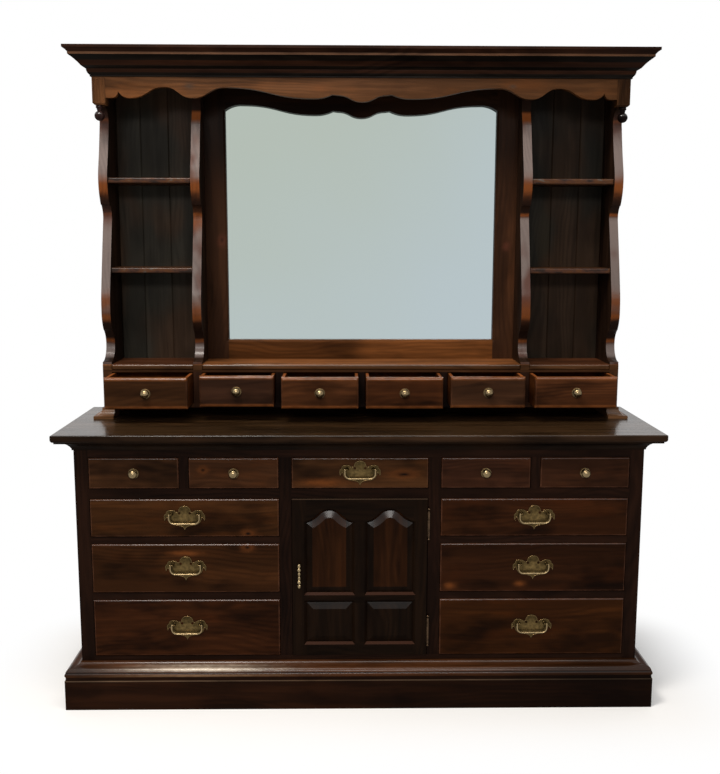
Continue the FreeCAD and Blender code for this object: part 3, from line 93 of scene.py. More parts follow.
class Tree:
    """A node tree. Most ways here add a node, join or set its inputs, and give back its output."""

    def __init__(self, tree):
        self.tree = tree

    def add(self, kind, **settings):
        node = self.tree.nodes.new(kind)
        for name, value in settings.items():
            setattr(node, name, value)
        return node

    def feed(self, socket, value):
        """Joins a socket to an output, or sets it to a plain value."""
        if isinstance(value, bpy.types.NodeSocket):
            self.tree.links.new(value, socket)
        else:
            socket.default_value = value

    def fill(self, node, **inputs):
        """Feeds a node's inputs by their names, where _ stands for a space."""
        for name, value in inputs.items():
            self.feed(node.inputs[name.replace("_", " ")], value)
        return node.outputs

    def math(self, operation, *values):
        node = self.add("ShaderNodeMath", operation=operation)
        for socket, value in zip(node.inputs, values):
            self.feed(socket, value)
        return node.outputs[0]

    def times(self, first, second):
        return self.math("MULTIPLY", first, second)

    def plus(self, first, second):
        return self.math("ADD", first, second)

    def minus(self, first, second):
        return self.math("SUBTRACT", first, second)

    def vector(self, operation, *values):
        node = self.add("ShaderNodeVectorMath", operation=operation)
        for socket, value in zip(node.inputs, values):
            self.feed(socket, value)
        return node.outputs[0]

    def split(self, vector):
        node = self.add("ShaderNodeSeparateXYZ")
        self.feed(node.inputs[0], vector)
        return node.outputs

    def join(self, x, y, z):
        node = self.add("ShaderNodeCombineXYZ")
        for socket, value in zip(node.inputs, (x, y, z)):
            self.feed(socket, value)
        return node.outputs[0]

    def noise(self, vector, scale, detail=2.0, roughness=0.5):
        """Noise of the vector times a scale for each axis: how often the noise comes round in a metre."""
        return self.fill(self.add("ShaderNodeTexNoise"), Vector=self.vector("MULTIPLY", vector, scale),
                         Scale=1.0, Detail=detail, Roughness=roughness)[0]

    def fit(self, value, low, high, to_low=0.0, to_high=1.0):
        """Maps low to high onto another range, with soft ends."""
        return self.fill(self.add("ShaderNodeMapRange", interpolation_type="SMOOTHSTEP"), Value=value,
                         From_Min=low, From_Max=high, To_Min=to_low, To_Max=to_high)[0]

    def blend(self, share, first, second):
        """Goes from the first colour to the second by the share."""
        node = self.add("ShaderNodeMix", data_type="RGBA")
        self.feed(node.inputs["Factor"], share)
        self.feed(node.inputs[6], first)
        self.feed(node.inputs[7], second)
        return node.outputs[2]

    def blend_vector(self, share, first, second):
        node = self.add("ShaderNodeMix", data_type="VECTOR")
        self.feed(node.inputs["Factor"], share)
        self.feed(node.inputs[4], first)
        self.feed(node.inputs[5], second)
        return node.outputs[1]

    def scaled(self, colour, level):
        """The colour made brighter or darker by the level."""
        grey = self.join(level, level, level)
        return self.vector("MULTIPLY", colour, grey)

    def most(self, *masks):
        result = masks[0]
        for mask in masks[1:]:
            result = self.math("MAXIMUM", result, mask)
        return result

    def group(self, name, **inputs):
        return self.fill(self.add("ShaderNodeGroup", node_tree=bpy.data.node_groups[name]), **inputs)


def new_group(name, inputs, outputs):
    """An empty node group with named sockets. An input's usual value also gives its kind."""
    group = bpy.data.node_groups.new(name, "ShaderNodeTree")
    for label, value in inputs.items():
        if isinstance(value, float):
            kind = "NodeSocketFloat"
        else:
            kind = "NodeSocketColor" if len(value) == 4 else "NodeSocketVector"
        socket = group.interface.new_socket(name=label, in_out="INPUT", socket_type=kind)
        socket.default_value = value
    for label, kind in outputs.items():
        group.interface.new_socket(name=label, in_out="OUTPUT", socket_type="NodeSocket" + kind)
    tree = Tree(group)
    return tree, tree.add("NodeGroupInput").outputs, tree.add("NodeGroupOutput").inputs


def stain(red, green, blue):
    """A colour as a screen shows it, turned into the light that it sends back."""
    shown = np.array([red, green, blue]) / 255.0
    light = np.where(shown <= 0.04045, shown / 12.92, ((shown + 0.055) / 1.055) ** 2.4)
    return (*[float(part) for part in light], 1.0)


# Effects that several finishes share

ORIGIN = (0.0, 0.0, 0.0)


def make_board_zone():
    """A mask that is 1 where both x, taken without its sign, and z lie in their ranges."""
    tree, given, result = new_group(
        "board_zone", {"Vector": ORIGIN, "X From": 0.0, "X To": 1.0, "Z From": 0.0, "Z To": 2.0},
        {"Mask": "Float"})

    def between(value, axis):
        above = tree.math("GREATER_THAN", value, given[axis + " From"])
        return tree.times(above, tree.math("LESS_THAN", value, given[axis + " To"]))

    x, _, z = tree.split(given["Vector"])
    tree.feed(result["Mask"], tree.times(between(tree.math("ABSOLUTE", x), "X"), between(z, "Z")))


def make_turned_grain():
    """Swaps the axes so that the grain, which runs along x, stands upright or runs to the back."""
    tree, given, result = new_group(
        "turned_grain", {"Vector": ORIGIN, "Upright": 0.0, "Deep": 0.0}, {"Vector": "Vector"})
    x, y, z = tree.split(given["Vector"])
    upright = tree.blend_vector(given["Upright"], given["Vector"], tree.join(z, y, x))
    tree.feed(result["Vector"], tree.blend_vector(given["Deep"], upright, tree.join(y, x, z)))


# The pine figure's patterns: how often each comes round in a metre, along the grain and across it
KNOT_CELLS = (2.4, 5.0, 7.0)
WANDER = (1.5, 4.0, 4.0)
SHIVER = (7.0, 30.0, 30.0)
RING_FADING = (1.6, 11.0, 11.0)
STREAKS = (1.8, 30.0, 30.0)
FIBRES = (14.0, 620.0, 620.0)
CLOUDS = (3.6, 10.0, 10.0)
GLOWS = (4.2, 16.0, 16.0)
RINGS_PER_METRE = 62.0
RING_SHARPNESS = 1.6
RING_LEAN = 0.6
SEED_STEPS = (1.73, 3.19, 2.37)

# How far, in metres, the rings' line wanders, shivers and bends round a knot
WANDER_REACH = 0.22
SHIVER_REACH = 0.014
KNOT_REACH = 0.05

# How wide a knot's bend, flare and core are, in cells
KNOT_BEND = 0.34
KNOT_FLARE_WIDTH = 0.22
KNOT_CORE_EDGE = (0.1, 0.055)

# Between which levels of its noise each pattern comes up
FADING_RANGE = (0.4, 0.62)
STREAK_RANGE = (0.3, 0.7)
CLOUD_RANGE = (0.44, 0.68)
GLOW_RANGE = (0.52, 0.74)

# Between which tones the light wood goes over to middle, and then to dark, and what fibres do to it
TO_MIDDLE = (0.0, 0.55)
TO_DARK = (0.45, 1.2)
FIBRE_LEVELS = (0.2, 0.8, 0.93, 1.07)

# How strongly the streaks, flares and cores show, and how dark a core is against the dark tone
STREAK_STRENGTH = 0.75
KNOT_FLARE_STRENGTH = 0.6
KNOT_CORE_STRENGTH = 0.8
KNOT_CORE_LEVEL = 0.6

WOOD_ROUGHNESS = 0.3
STREAK_ROUGHNESS = 0.12
RING_RELIEF = -0.3
FIBRE_RELIEF = 0.5
CORE_RELIEF = 0.4


def make_pine_figure():
    """Stained pine with its grain along x.

    The rings are waves across the board whose line wanders along it, and they fade in and out. Knots
    stand where a stretched cell pattern has its centres, push the rings aside, and have a dark core in a
    warm flare. Stain lies in dark clouds with some redder ones, and fine fibres run along the grain.
    """
    tree, given, result = new_group(
        "pine_figure",
        {"Vector": ORIGIN, "Seed": 0.0, "Light": stain(104, 58, 33), "Middle": stain(66, 37, 23),
         "Dark": stain(34, 20, 14), "Warm": stain(120, 58, 20), "Knot Share": 0.3, "Ring Contrast": 0.6,
         "Cloud": 0.35, "Glow": 0.3},
        {"Color": "Color", "Roughness": "Float", "Height": "Float"})
    seed = given["Seed"]
    place = tree.vector("ADD", given["Vector"], tree.join(*[tree.times(seed, step) for step in SEED_STEPS]))

    cells = tree.fill(tree.add("ShaderNodeTexVoronoi"), Vector=tree.vector("MULTIPLY", place, KNOT_CELLS),
                      Scale=1.0)
    away = cells["Distance"]
    chance = tree.split(cells["Color"])[0]
    has_knot = tree.math("LESS_THAN", chance, given["Knot Share"])

    def swell(width):
        """A round hill over each knot: e to the power of minus the squared distance over the width."""
        spread = tree.math("POWER", tree.math("DIVIDE", away, width), 2.0)
        return tree.times(has_knot, tree.math("EXPONENT", tree.times(spread, -1.0)))

    _, y, z = tree.split(place)
    across = tree.plus(z, tree.times(y, RING_LEAN))
    for bend, reach in ((tree.noise(place, WANDER), WANDER_REACH), (tree.noise(place, SHIVER), SHIVER_REACH),
                        (swell(KNOT_BEND), KNOT_REACH)):
        across = tree.plus(across, tree.times(bend, reach))
    wave = tree.math("SINE", tree.times(across, 2 * math.pi * RINGS_PER_METRE))
    fading = tree.fit(tree.noise(place, RING_FADING), *FADING_RANGE)
    ring = tree.math("POWER", tree.math("MULTIPLY_ADD", wave, 0.5, 0.5), RING_SHARPNESS)
    ring = tree.times(ring, fading)

    streak = tree.fit(tree.noise(place, STREAKS, 4.0, 0.6), *STREAK_RANGE)
    fibre = tree.noise(place, FIBRES)
    cloud = tree.fit(tree.noise(place, CLOUDS, 3.0, 0.6), *CLOUD_RANGE)
    glow = tree.fit(tree.noise(place, GLOWS, 3.0, 0.6), *GLOW_RANGE)

    tone = tree.times(ring, given["Ring Contrast"])
    tone = tree.plus(tone, tree.times(streak, STREAK_STRENGTH))
    lit = tree.blend(tree.fit(tone, *TO_MIDDLE), given["Light"], given["Middle"])
    colour = tree.blend(tree.fit(tone, *TO_DARK), lit, given["Dark"])
    colour = tree.blend(tree.times(glow, given["Glow"]), colour, given["Warm"])
    darker = tree.minus(1.0, tree.times(cloud, given["Cloud"]))
    colour = tree.scaled(colour, darker)
    colour = tree.scaled(colour, tree.fit(fibre, *FIBRE_LEVELS))
    colour = tree.blend(tree.times(swell(KNOT_FLARE_WIDTH), KNOT_FLARE_STRENGTH), colour, given["Warm"])
    core = tree.times(has_knot, tree.fit(away, *KNOT_CORE_EDGE))
    dark_core = tree.scaled(given["Dark"], KNOT_CORE_LEVEL)
    colour = tree.blend(tree.times(core, KNOT_CORE_STRENGTH), colour, dark_core)

    tree.feed(result["Color"], colour)
    tree.feed(result["Roughness"], tree.math("MULTIPLY_ADD", streak, STREAK_ROUGHNESS, WOOD_ROUGHNESS))
    relief = tree.math("MULTIPLY_ADD", ring, RING_RELIEF, tree.times(fibre, FIBRE_RELIEF))
    tree.feed(result["Height"], tree.minus(relief, tree.times(core, CORE_RELIEF)))


FULL_MASK_SHARE = 0.3


def make_front_arris():
    """Masks along a board's four edges, and along its top and bottom alone.

    Each is full up to a share of the width from the edge, and has faded out at the width.
    """
    tree, given, result = new_group(
        "front_arris", {"Vector": ORIGIN, "Low": ORIGIN, "High": (1.0, 1.0, 1.0), "Width": 0.004},
        {"Mask": "Float", "Level": "Float"})
    from_low = tree.split(tree.vector("SUBTRACT", given["Vector"], given["Low"]))
    from_high = tree.split(tree.vector("SUBTRACT", given["High"], given["Vector"]))
    side = tree.math("MINIMUM", from_low[0], from_high[0])
    end = tree.math("MINIMUM", from_low[2], from_high[2])
    near = tree.math("MINIMUM", side, end)
    full = tree.times(given["Width"], FULL_MASK_SHARE)
    tree.feed(result["Mask"], tree.fit(near, given["Width"], full))
    tree.feed(result["Level"], tree.fit(end, given["Width"], full))


SPOT_SHIVER = (45.0, 45.0, 110.0)
SPOT_UNEVENNESS = 0.9


def make_spot():
    """A soft spot: e to the power of minus the squared distance from its middle, measured in its sizes.

    Noise makes its outline uneven.
    """
    tree, given, result = new_group(
        "spot", {"Vector": ORIGIN, "At": ORIGIN, "Size": (0.01, 1.0, 0.01)}, {"Mask": "Float"})
    away = tree.add("ShaderNodeVectorMath", operation="LENGTH")
    offset = tree.vector("SUBTRACT", given["Vector"], given["At"])
    tree.feed(away.inputs[0], tree.vector("DIVIDE", offset, given["Size"]))
    shiver = tree.math("MULTIPLY_ADD", tree.noise(given["Vector"], SPOT_SHIVER), SPOT_UNEVENNESS,
                       -SPOT_UNEVENNESS / 2)
    bent = tree.plus(away.outputs["Value"], shiver)
    squared = tree.math("POWER", tree.math("MAXIMUM", bent, 0.0), 2.0)
    tree.feed(result["Mask"], tree.math("EXPONENT", tree.times(squared, -1.0)))


BRASS_FILM = (90.0, 90.0, 90.0)
BRASS_PITS = (900.0, 900.0, 900.0)
FILM_RANGE = (0.3, 0.7)
PIT_RANGE = (0.62, 0.75)
BRASS_POLISH = 0.24
FILM_ROUGHNESS = 0.16
FILM_RELIEF = 0.3
PIT_STRENGTH = 0.5
PIT_LEVEL = 0.4


def make_brass_patina():
    """Old brass: dull brown film in clouds, small dark pits, and bright metal where hands rub it."""
    tree, given, result = new_group(
        "brass_patina", {"Vector": ORIGIN, "Seed": 0.0, "Bright": stain(150, 130, 84),
                         "Dull": stain(70, 60, 36), "Rubbed": 0.5, "Polish": BRASS_POLISH},
        {"Color": "Color", "Roughness": "Float", "Height": "Float"})
    place = tree.vector("ADD", given["Vector"], tree.join(given["Seed"], given["Seed"], given["Seed"]))
    film = tree.fit(tree.noise(place, BRASS_FILM, 3.0, 0.6), *FILM_RANGE)
    pits = tree.fit(tree.noise(place, BRASS_PITS), *PIT_RANGE)
    share = tree.times(film, tree.minus(1.0, given["Rubbed"]))
    colour = tree.blend(share, given["Bright"], given["Dull"])
    colour = tree.blend(tree.times(pits, PIT_STRENGTH), colour, tree.scaled(given["Dull"], PIT_LEVEL))
    tree.feed(result["Color"], colour)
    tree.feed(result["Roughness"], tree.math("MULTIPLY_ADD", film, FILM_ROUGHNESS, given["Polish"]))
    tree.feed(result["Height"], tree.minus(tree.times(film, FILM_RELIEF), pits))


def make_slant():
    """A mask of the faces that slant upwards: bevels, rounded edges and mouldings.

    Level tops have their own share.
    """
    tree, given, result = new_group(
        "slant", {"Normal": ORIGIN, "From": 0.1, "To": 0.3, "Level": 0.0}, {"Mask": "Float"})
    up = tree.split(given["Normal"])[2]
    rising = tree.fit(up, given["From"], given["To"])
    level = tree.fit(up, 0.95, 0.99)
    rest = tree.minus(given["Level"], rising)
    tree.feed(result["Mask"], tree.math("MULTIPLY_ADD", level, rest, rising))


for make in (make_board_zone, make_turned_grain, make_pine_figure, make_front_arris, make_spot,
             make_brass_patina, make_slant):
    make()


# Pieces made of one closed skin round a closed path

# A bail's plate: its half width, the height of its crown and the depth of its pendant. Its outline runs to
# the right of its middle, from the top down. Each arc goes through its first point to its second; x is a
# share of the half width, and z of the crown above 0 or the pendant below it
PLATE_SIZE = (0.0605, 0.025, 0.050)
PLATE_ARCS = np.array([(0.21, 0.84, 0.3, 0.36), (0.34, 0.27, 0.42, 0.3), (0.6, 0.48, 0.76, 0.46),
                       (0.86, 0.36, 0.9, 0.08), (0.99, -0.06, 1.0, -0.21), (0.99, -0.34, 0.95, -0.42),
                       (0.92, -0.29, 0.85, -0.22), (0.74, -0.52, 0.46, -0.69), (0.27, -0.72, 0.12, -0.78),
                       (0.05, -0.86, 0.0, -1.0)])
PLATE_THICKNESS = 0.0016
RIM_RADIUS = 0.0009
RIM_INSET = 0.0012
BEAD_RADIUS = 0.0012
BEAD_CIRCLE = 0.0136
BEAD_COUNT = 26
BEAD_NECK = 0.4
ROSE_THICKNESS = 0.002
ARC_POINTS = 9
BEAD_POINTS = 6
SECTION_POINTS = 8


def plate_outline(count):
    """The plate's outline as points round its middle, with so many to an arc.

    An arc's centre is where the perpendicular bisectors of its two chords meet. Its points turn evenly
    round that centre, from its start to its end, the way that takes them past its middle.
    """
    half_width, crown, pendant = PLATE_SIZE
    right = PLATE_ARCS.reshape(-1, 2, 2) * (half_width, crown)
    right[..., 1] = np.where(right[..., 1] > 0, right[..., 1], right[..., 1] * pendant / crown)
    starts = np.vstack(([[0.0, crown]], right[:-1, 1]))
    flip = np.array([-1.0, 1.0])
    begin = np.vstack((starts, right[::-1, 1] * flip))
    through = np.vstack((right[:, 0], right[::-1, 0] * flip))
    finish = np.vstack((right[:, 1], starts[::-1] * flip))
    a, b = through - begin, finish - begin
    twice = 2 * (a[:, 0] * b[:, 1] - a[:, 1] * b[:, 0])
    a_squared, b_squared = np.sum(a * a, axis=1), np.sum(b * b, axis=1)
    centre = begin + np.stack((b[:, 1] * a_squared - a[:, 1] * b_squared,
                               a[:, 0] * b_squared - b[:, 0] * a_squared), axis=1) / twice[:, None]
    spoke, last = begin - centre, finish - centre
    angle = np.arctan2(spoke[:, 1], spoke[:, 0])
    way = np.sign(twice)
    turn = way * np.mod(way * (np.arctan2(last[:, 1], last[:, 0]) - angle), 2 * math.pi)
    share = np.arange(count) / count
    angles = angle[:, None] + turn[:, None] * share[None, :]
    radius = np.linalg.norm(spoke, axis=1)[:, None, None]
    points = centre[:, None, :] + radius * np.stack((np.cos(angles), np.sin(angles)), axis=-1)
    return points.reshape(-1, 2)


def section_angles():
    """The angles of the points round a section."""
    return np.arange(SECTION_POINTS) * 2 * math.pi / SECTION_POINTS


def plate_rim(x, face, top):
    """A raised rim: at each point of the outline, drawn in by the inset, a circle that stands across it.

    A point is the drawn-in outline plus the rim's radius times the cosine of an angle inwards and its
    sine to the front.
    """
    path = plate_outline(ARC_POINTS)
    ahead = np.roll(path, -1, axis=0) - np.roll(path, 1, axis=0)
    ahead /= np.linalg.norm(ahead, axis=1)[:, None]
    inward = np.stack((ahead[:, 1], -ahead[:, 0]), axis=1)
    line = path + RIM_INSET * inward
    angle = section_angles()
    reach = RIM_RADIUS * np.cos(angle)
    across = line[:, None, :] + reach[None, :, None] * inward[:, None, :]
    front = np.broadcast_to(face - PLATE_THICKNESS - RIM_RADIUS * np.sin(angle), across.shape[:2])
    return np.stack((x + across[..., 0], front, top - PLATE_SIZE[1] + across[..., 1]), axis=-1)


def bead_ring(x, face, z):
    """A ring of beads on a knob's rose: round a circle, a section whose radius swells and shrinks.

    That radius is the bead's times the neck's share, plus the rest of it times the square root of the
    sine of half the bead angle.
    """
    count = BEAD_COUNT * BEAD_POINTS
    turn = np.arange(count) * 2 * math.pi / count
    swell = BEAD_NECK + (1 - BEAD_NECK) * np.sqrt(np.abs(np.sin(BEAD_COUNT * turn / 2)))
    angle = section_angles()
    radius = BEAD_RADIUS * swell[:, None]
    out = BEAD_CIRCLE - radius * np.cos(angle)[None, :]
    front = face - ROSE_THICKNESS - radius * np.sin(angle)[None, :]
    return np.stack((x + out * np.sin(turn)[:, None], front, z + out * np.cos(turn)[:, None]), axis=-1)


def ring_piece(name, points, finish, body):
    """A closed skin over a grid that wraps both along its path and round its section."""
    count, around = points.shape[:2]
    index = np.arange(count * around).reshape(count, around)
    after = np.roll(index, -1, axis=0)
    quads = np.stack((index, after, np.roll(after, -1, axis=1), np.roll(index, -1, axis=1)), axis=-1)
    mesh = bpy.data.meshes.new(name)
    mesh.from_pydata(points.reshape(-1, 3).tolist(), [], quads.reshape(-1, 4).tolist())
    mesh.shade_smooth()
    piece = bpy.data.objects.new(name, mesh)
    bpy.context.scene.collection.objects.link(piece)
    mesh.materials.append(finish.material)
    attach(piece, body)


# Finishes

SHEEN_LEVEL = 0.025
COAT_ROUGHNESS = 0.18
GLOSS = 0.6
BUMP_STRENGTH = 0.5
WOOD_RELIEF = 0.0005
BRASS_RELIEF = 0.0002
PAPER_RELIEF = 0.0001

# How far the hutch stands to the right of the dresser's middle
HUTCH_MOVED = 0.0084


class Finish(Tree):
    """A material of one surface shader, with the piece's own coordinates and normal."""

    def __init__(self, name, moved=0.0):
        material = bpy.data.materials.new(name)
        material.use_nodes = True
        super().__init__(material.node_tree)
        self.material = material
        self.shader = self.tree.nodes["Principled BSDF"]
        given = self.add("ShaderNodeTexCoord").outputs
        self.at = given["Object"]
        if moved:
            self.at = self.vector("SUBTRACT", self.at, (moved, 0.0, 0.0))
        self.normal = given["Normal"]

    def zone(self, x_from, x_to, z_from, z_to):
        return self.group("board_zone", Vector=self.at, X_From=x_from, X_To=x_to,
                          Z_From=z_from, Z_To=z_to)["Mask"]

    def turned(self, upright=0.0, deep=0.0):
        """The piece's coordinates, with the grain stood upright or laid to the back by a share."""
        return self.group("turned_grain", Vector=self.at, Upright=upright, Deep=deep)["Vector"]

    def spotted(self, colour, at, size, share, tint):
        """The colour with a soft spot of a tint, whose share is how much of it is laid on."""
        mask = self.group("spot", Vector=self.at, At=at, Size=size)["Mask"]
        return self.blend(self.times(mask, share), colour, tint)

    def surface(self, colour, figure, relief=WOOD_RELIEF):
        """Joins a colour and a figure's roughness and height to the shader. Relief is in metres."""
        bump = self.fill(self.add("ShaderNodeBump"), Height=figure["Height"], Distance=relief,
                         Strength=BUMP_STRENGTH)
        self.fill(self.shader, Base_Color=colour, Roughness=figure["Roughness"], Normal=bump[0])

    def sheen(self):
        """A dull sheen all over, and no coat."""
        self.fill(self.shader, Specular_IOR_Level=SHEEN_LEVEL)

    def lacquer(self, gloss, level=0.0):
        """A clear coat over the sheen, where the wood slants upwards, or lies level."""
        self.sheen()
        slant = self.group("slant", Normal=self.normal, Level=level)["Mask"]
        self.fill(self.shader, Coat_Roughness=COAT_ROUGHNESS, Coat_Weight=self.times(slant, gloss))


LIGHTER = 0.62
DARKER = 0.42
WARMER = (2.1, 1.7, 1.2)


def tones(red, green, blue, spread=1.0):
    """The light, middle and dark tone and the warm tint of a stain, from its middle tone."""
    middle = np.array(stain(red, green, blue)[:3])
    shades = [middle * (1 + LIGHTER * spread), middle, middle * (1 - DARKER * spread), middle * WARMER]
    return [(*[float(part) for part in shade], 1.0) for shade in shades]


# The stain of each part, by its middle tone. The tones named for shade or highlight are painted light
FRAME_TONES = tones(22, 10, 5)
DOOR_TONES = tones(15, 7, 3)
ARCH_TONES = tones(31, 14, 4)
TOP_TONES = tones(47, 32, 18)
TOP_EDGE_TONES = tones(34, 22, 13)
TOP_COVE_SHADE_TONES = tones(18, 10, 5)
PLINTH_TONES = tones(26, 11, 4)
CAP_TONES = tones(64, 36, 18)
GROOVE_SHADE_TONES = tones(20, 10, 6)
CAP_LINE_HIGHLIGHT_TONES = tones(78, 62, 48)
HUTCH_TONES = tones(52, 31, 17)
TOWER_TONES = tones(32, 20, 13)
MIRROR_TONES = tones(42, 24, 13)
AMBER_TONES = tones(66, 37, 15)
SHELF_TOP_TONES = tones(102, 62, 33)
SHELF_FRONT_TONES = tones(66, 42, 24)
SHELF_END_TONES = tones(62, 35, 20)
DIVIDER_TONES = tones(19, 10, 7)
UPRIGHT_TONES = tones(38, 22, 14)
FEET_TONES = tones(90, 62, 40)
VALANCE_TONES = tones(74, 46, 25)
CROWN_TONES = tones(32, 16, 8)
CROWN_SHADE_TONES = tones(15, 11, 8)
CROWN_HIGHLIGHT_TONES = tones(83, 57, 40)
PLANK_TONES = tones(38, 32, 26, 0.6)
BOX_TONES = tones(112, 62, 30)
DROP_TONES = tones(34, 22, 20)
INSIDE_TONES = tones(140, 96, 56, 0.5)
# The drawers grow darker to the right: partly their own stain, partly painted shade of light that falls from
# the left
SMALL_TONES = {1: tones(47, 27, 13), 2: tones(45, 25, 12), 3: tones(42, 22, 12), 4: tones(37, 19, 9)}
CELL_TONES = {1: tones(40, 22, 9), 2: tones(40, 23, 14), 3: tones(54, 29, 13), 4: tones(48, 24, 9),
              5: tones(47, 28, 16), 6: tones(56, 30, 14)}
BANK_TONES = {"centre": tones(47, 27, 12), "left_1": tones(43, 23, 8), "left_2": tones(41, 21, 7),
              "left_3": tones(41, 19, 6), "right_1": tones(35, 16, 5), "right_2": tones(30, 13, 4),
              "right_3": tones(39, 18, 4)}

# Tones of the edges' painted light and shade, the arrises' worn and lit lines, the bands' painted light, the
# knots, the marks and the cap's painted highlights
EDGE_DARK = stain(26, 15, 10)
EDGE_ORANGE = stain(90, 48, 22)
EDGE_BROWN = stain(66, 44, 35)
EDGE_PALE = stain(91, 80, 76)
EDGE_RED = stain(70, 45, 37)
SHELF_DARK = stain(40, 32, 28)
SHELF_ORANGE = stain(76, 48, 30)
SHELF_PALE = stain(79, 72, 66)
ARRIS_LINE = stain(96, 62, 46)
BAND_ORANGE = stain(118, 68, 34)
KNOT_FLARE = stain(96, 52, 22)
KNOT_CORE = stain(14, 7, 4)
MARK_GREY = stain(58, 48, 40)
MARK_RED = stain(74, 40, 28)
MARK_DARK = stain(16, 9, 6)
# Painted highlights on the plinth's cap and its bead
CAP_PAINTED_HIGHLIGHT = stain(222, 206, 184)
CAP_BEAD_PAINTED_HIGHLIGHT = stain(128, 102, 76)


def wood(finish, place, seed, shades, knots=0.2, rings=0.5, cloud=0.45, glow=0.25):
    """The shared pine figure, with this finish's tones."""
    return finish.group("pine_figure", Vector=place, Seed=seed, Light=shades[0], Middle=shades[1],
                        Dark=shades[2], Warm=shades[3], Knot_Share=knots, Ring_Contrast=rings, Cloud=cloud,
                        Glow=glow)


def dress(node, finish):
    """Gives a node its finish in every slot."""
    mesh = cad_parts[node].data
    mesh.materials.clear()
    mesh.materials.append(finish.material)


UPRIGHT_SEED_STEP = 3.7
MARK_SHARE = 0.7


def plain_wood(node, seed, shades, uprights=(), upright=0.0, deep=0.0, by_normal=False, moved=0.0,
               gloss=GLOSS, level=0.0, patches=(), fall=None, climb=None, marks=(), **pattern):
    """Dresses a node in stained boards along x, of which the listed zones stand upright.

    With by_normal, mouldings turn along the sides. A patch is a zone with tones of its own. The fall
    gives the share of the colour's strength on the left and on the right, and how far from the middle it
    is reached; on the plinth, valance, posts and crown it is painted light falling from the left. The
    climb gives two heights and the share at each, as painted shade that deepens upwards. A mark is a
    soft spot, by its middle, size and colour. Without gloss the wood has no clear coat.
    """
    finish = Finish(node + "_stain", moved)
    stands = upright
    if uprights:
        stands = finish.most(*[finish.zone(*zone) for zone in uprights])
    if by_normal:
        sideways = finish.math("ABSOLUTE", finish.split(finish.normal)[0])
        deep = finish.math("GREATER_THAN", sideways, 0.5)
    place = finish.turned(stands, deep)
    if uprights:
        seed = finish.math("MULTIPLY_ADD", stands, UPRIGHT_SEED_STEP, seed)
    for zone, other in patches:
        inside = finish.zone(*zone)
        shades = [finish.blend(inside, own, new) for own, new in zip(shades, other)]
    figure = wood(finish, place, seed, shades, **pattern)
    colour = figure["Color"]
    if fall:
        left, right, reach = fall
        along = finish.split(finish.at)[0]
        colour = finish.scaled(colour, finish.fit(along, -reach, reach, left, right))
    if climb:
        colour = finish.scaled(colour, finish.fit(finish.split(finish.at)[2], *climb))
    for at, size, tint in marks:
        colour = finish.spotted(colour, at, size, MARK_SHARE, tint)
    finish.surface(colour, figure)
    if gloss:
        finish.lacquer(gloss, level)
    else:
        finish.sheen()
    dress(node, finish)


# How far the worn and lit lines of a drawer's front reach from its edges, and how patchy they are
ARRIS_WIDTH = 0.005
BAND_WIDTH = 0.013
WEAR_AND_HIGHLIGHT = (30.0, 30.0, 30.0)
WEAR_AND_HIGHLIGHT_RANGE = (0.3, 0.7)

FLARE_SHARE = 0.7
KNOT_RING_SHARE = 0.6
BOX_SIDE_SHADE = 0.35
BEHIND_FRONT = 0.0002

# Knots and flares on the drawer fronts, by their middle's x and z, and their half length and height
FRONT_KNOTS = {"left_1_drawer": [(-0.331, 0.533, 0.009, 0.006)],
               "left_2_drawer": [(-0.3345, 0.490, 0.009, 0.006)],
               "small_drawer_2": [(-0.4605, 0.726, 0.007, 0.005)],
               "centre_drawer": [(0.129, 0.712, 0.022, 0.007)]}
FRONT_FLARES = {"left_2_drawer": [(-0.5175, 0.473, 0.045, 0.007)],
                "centre_drawer": [(-0.11, 0.687, 0.06, 0.011)],
                "right_2_drawer": [(0.270, 0.370, 0.016, 0.010), (0.479, 0.376, 0.016, 0.008)]}


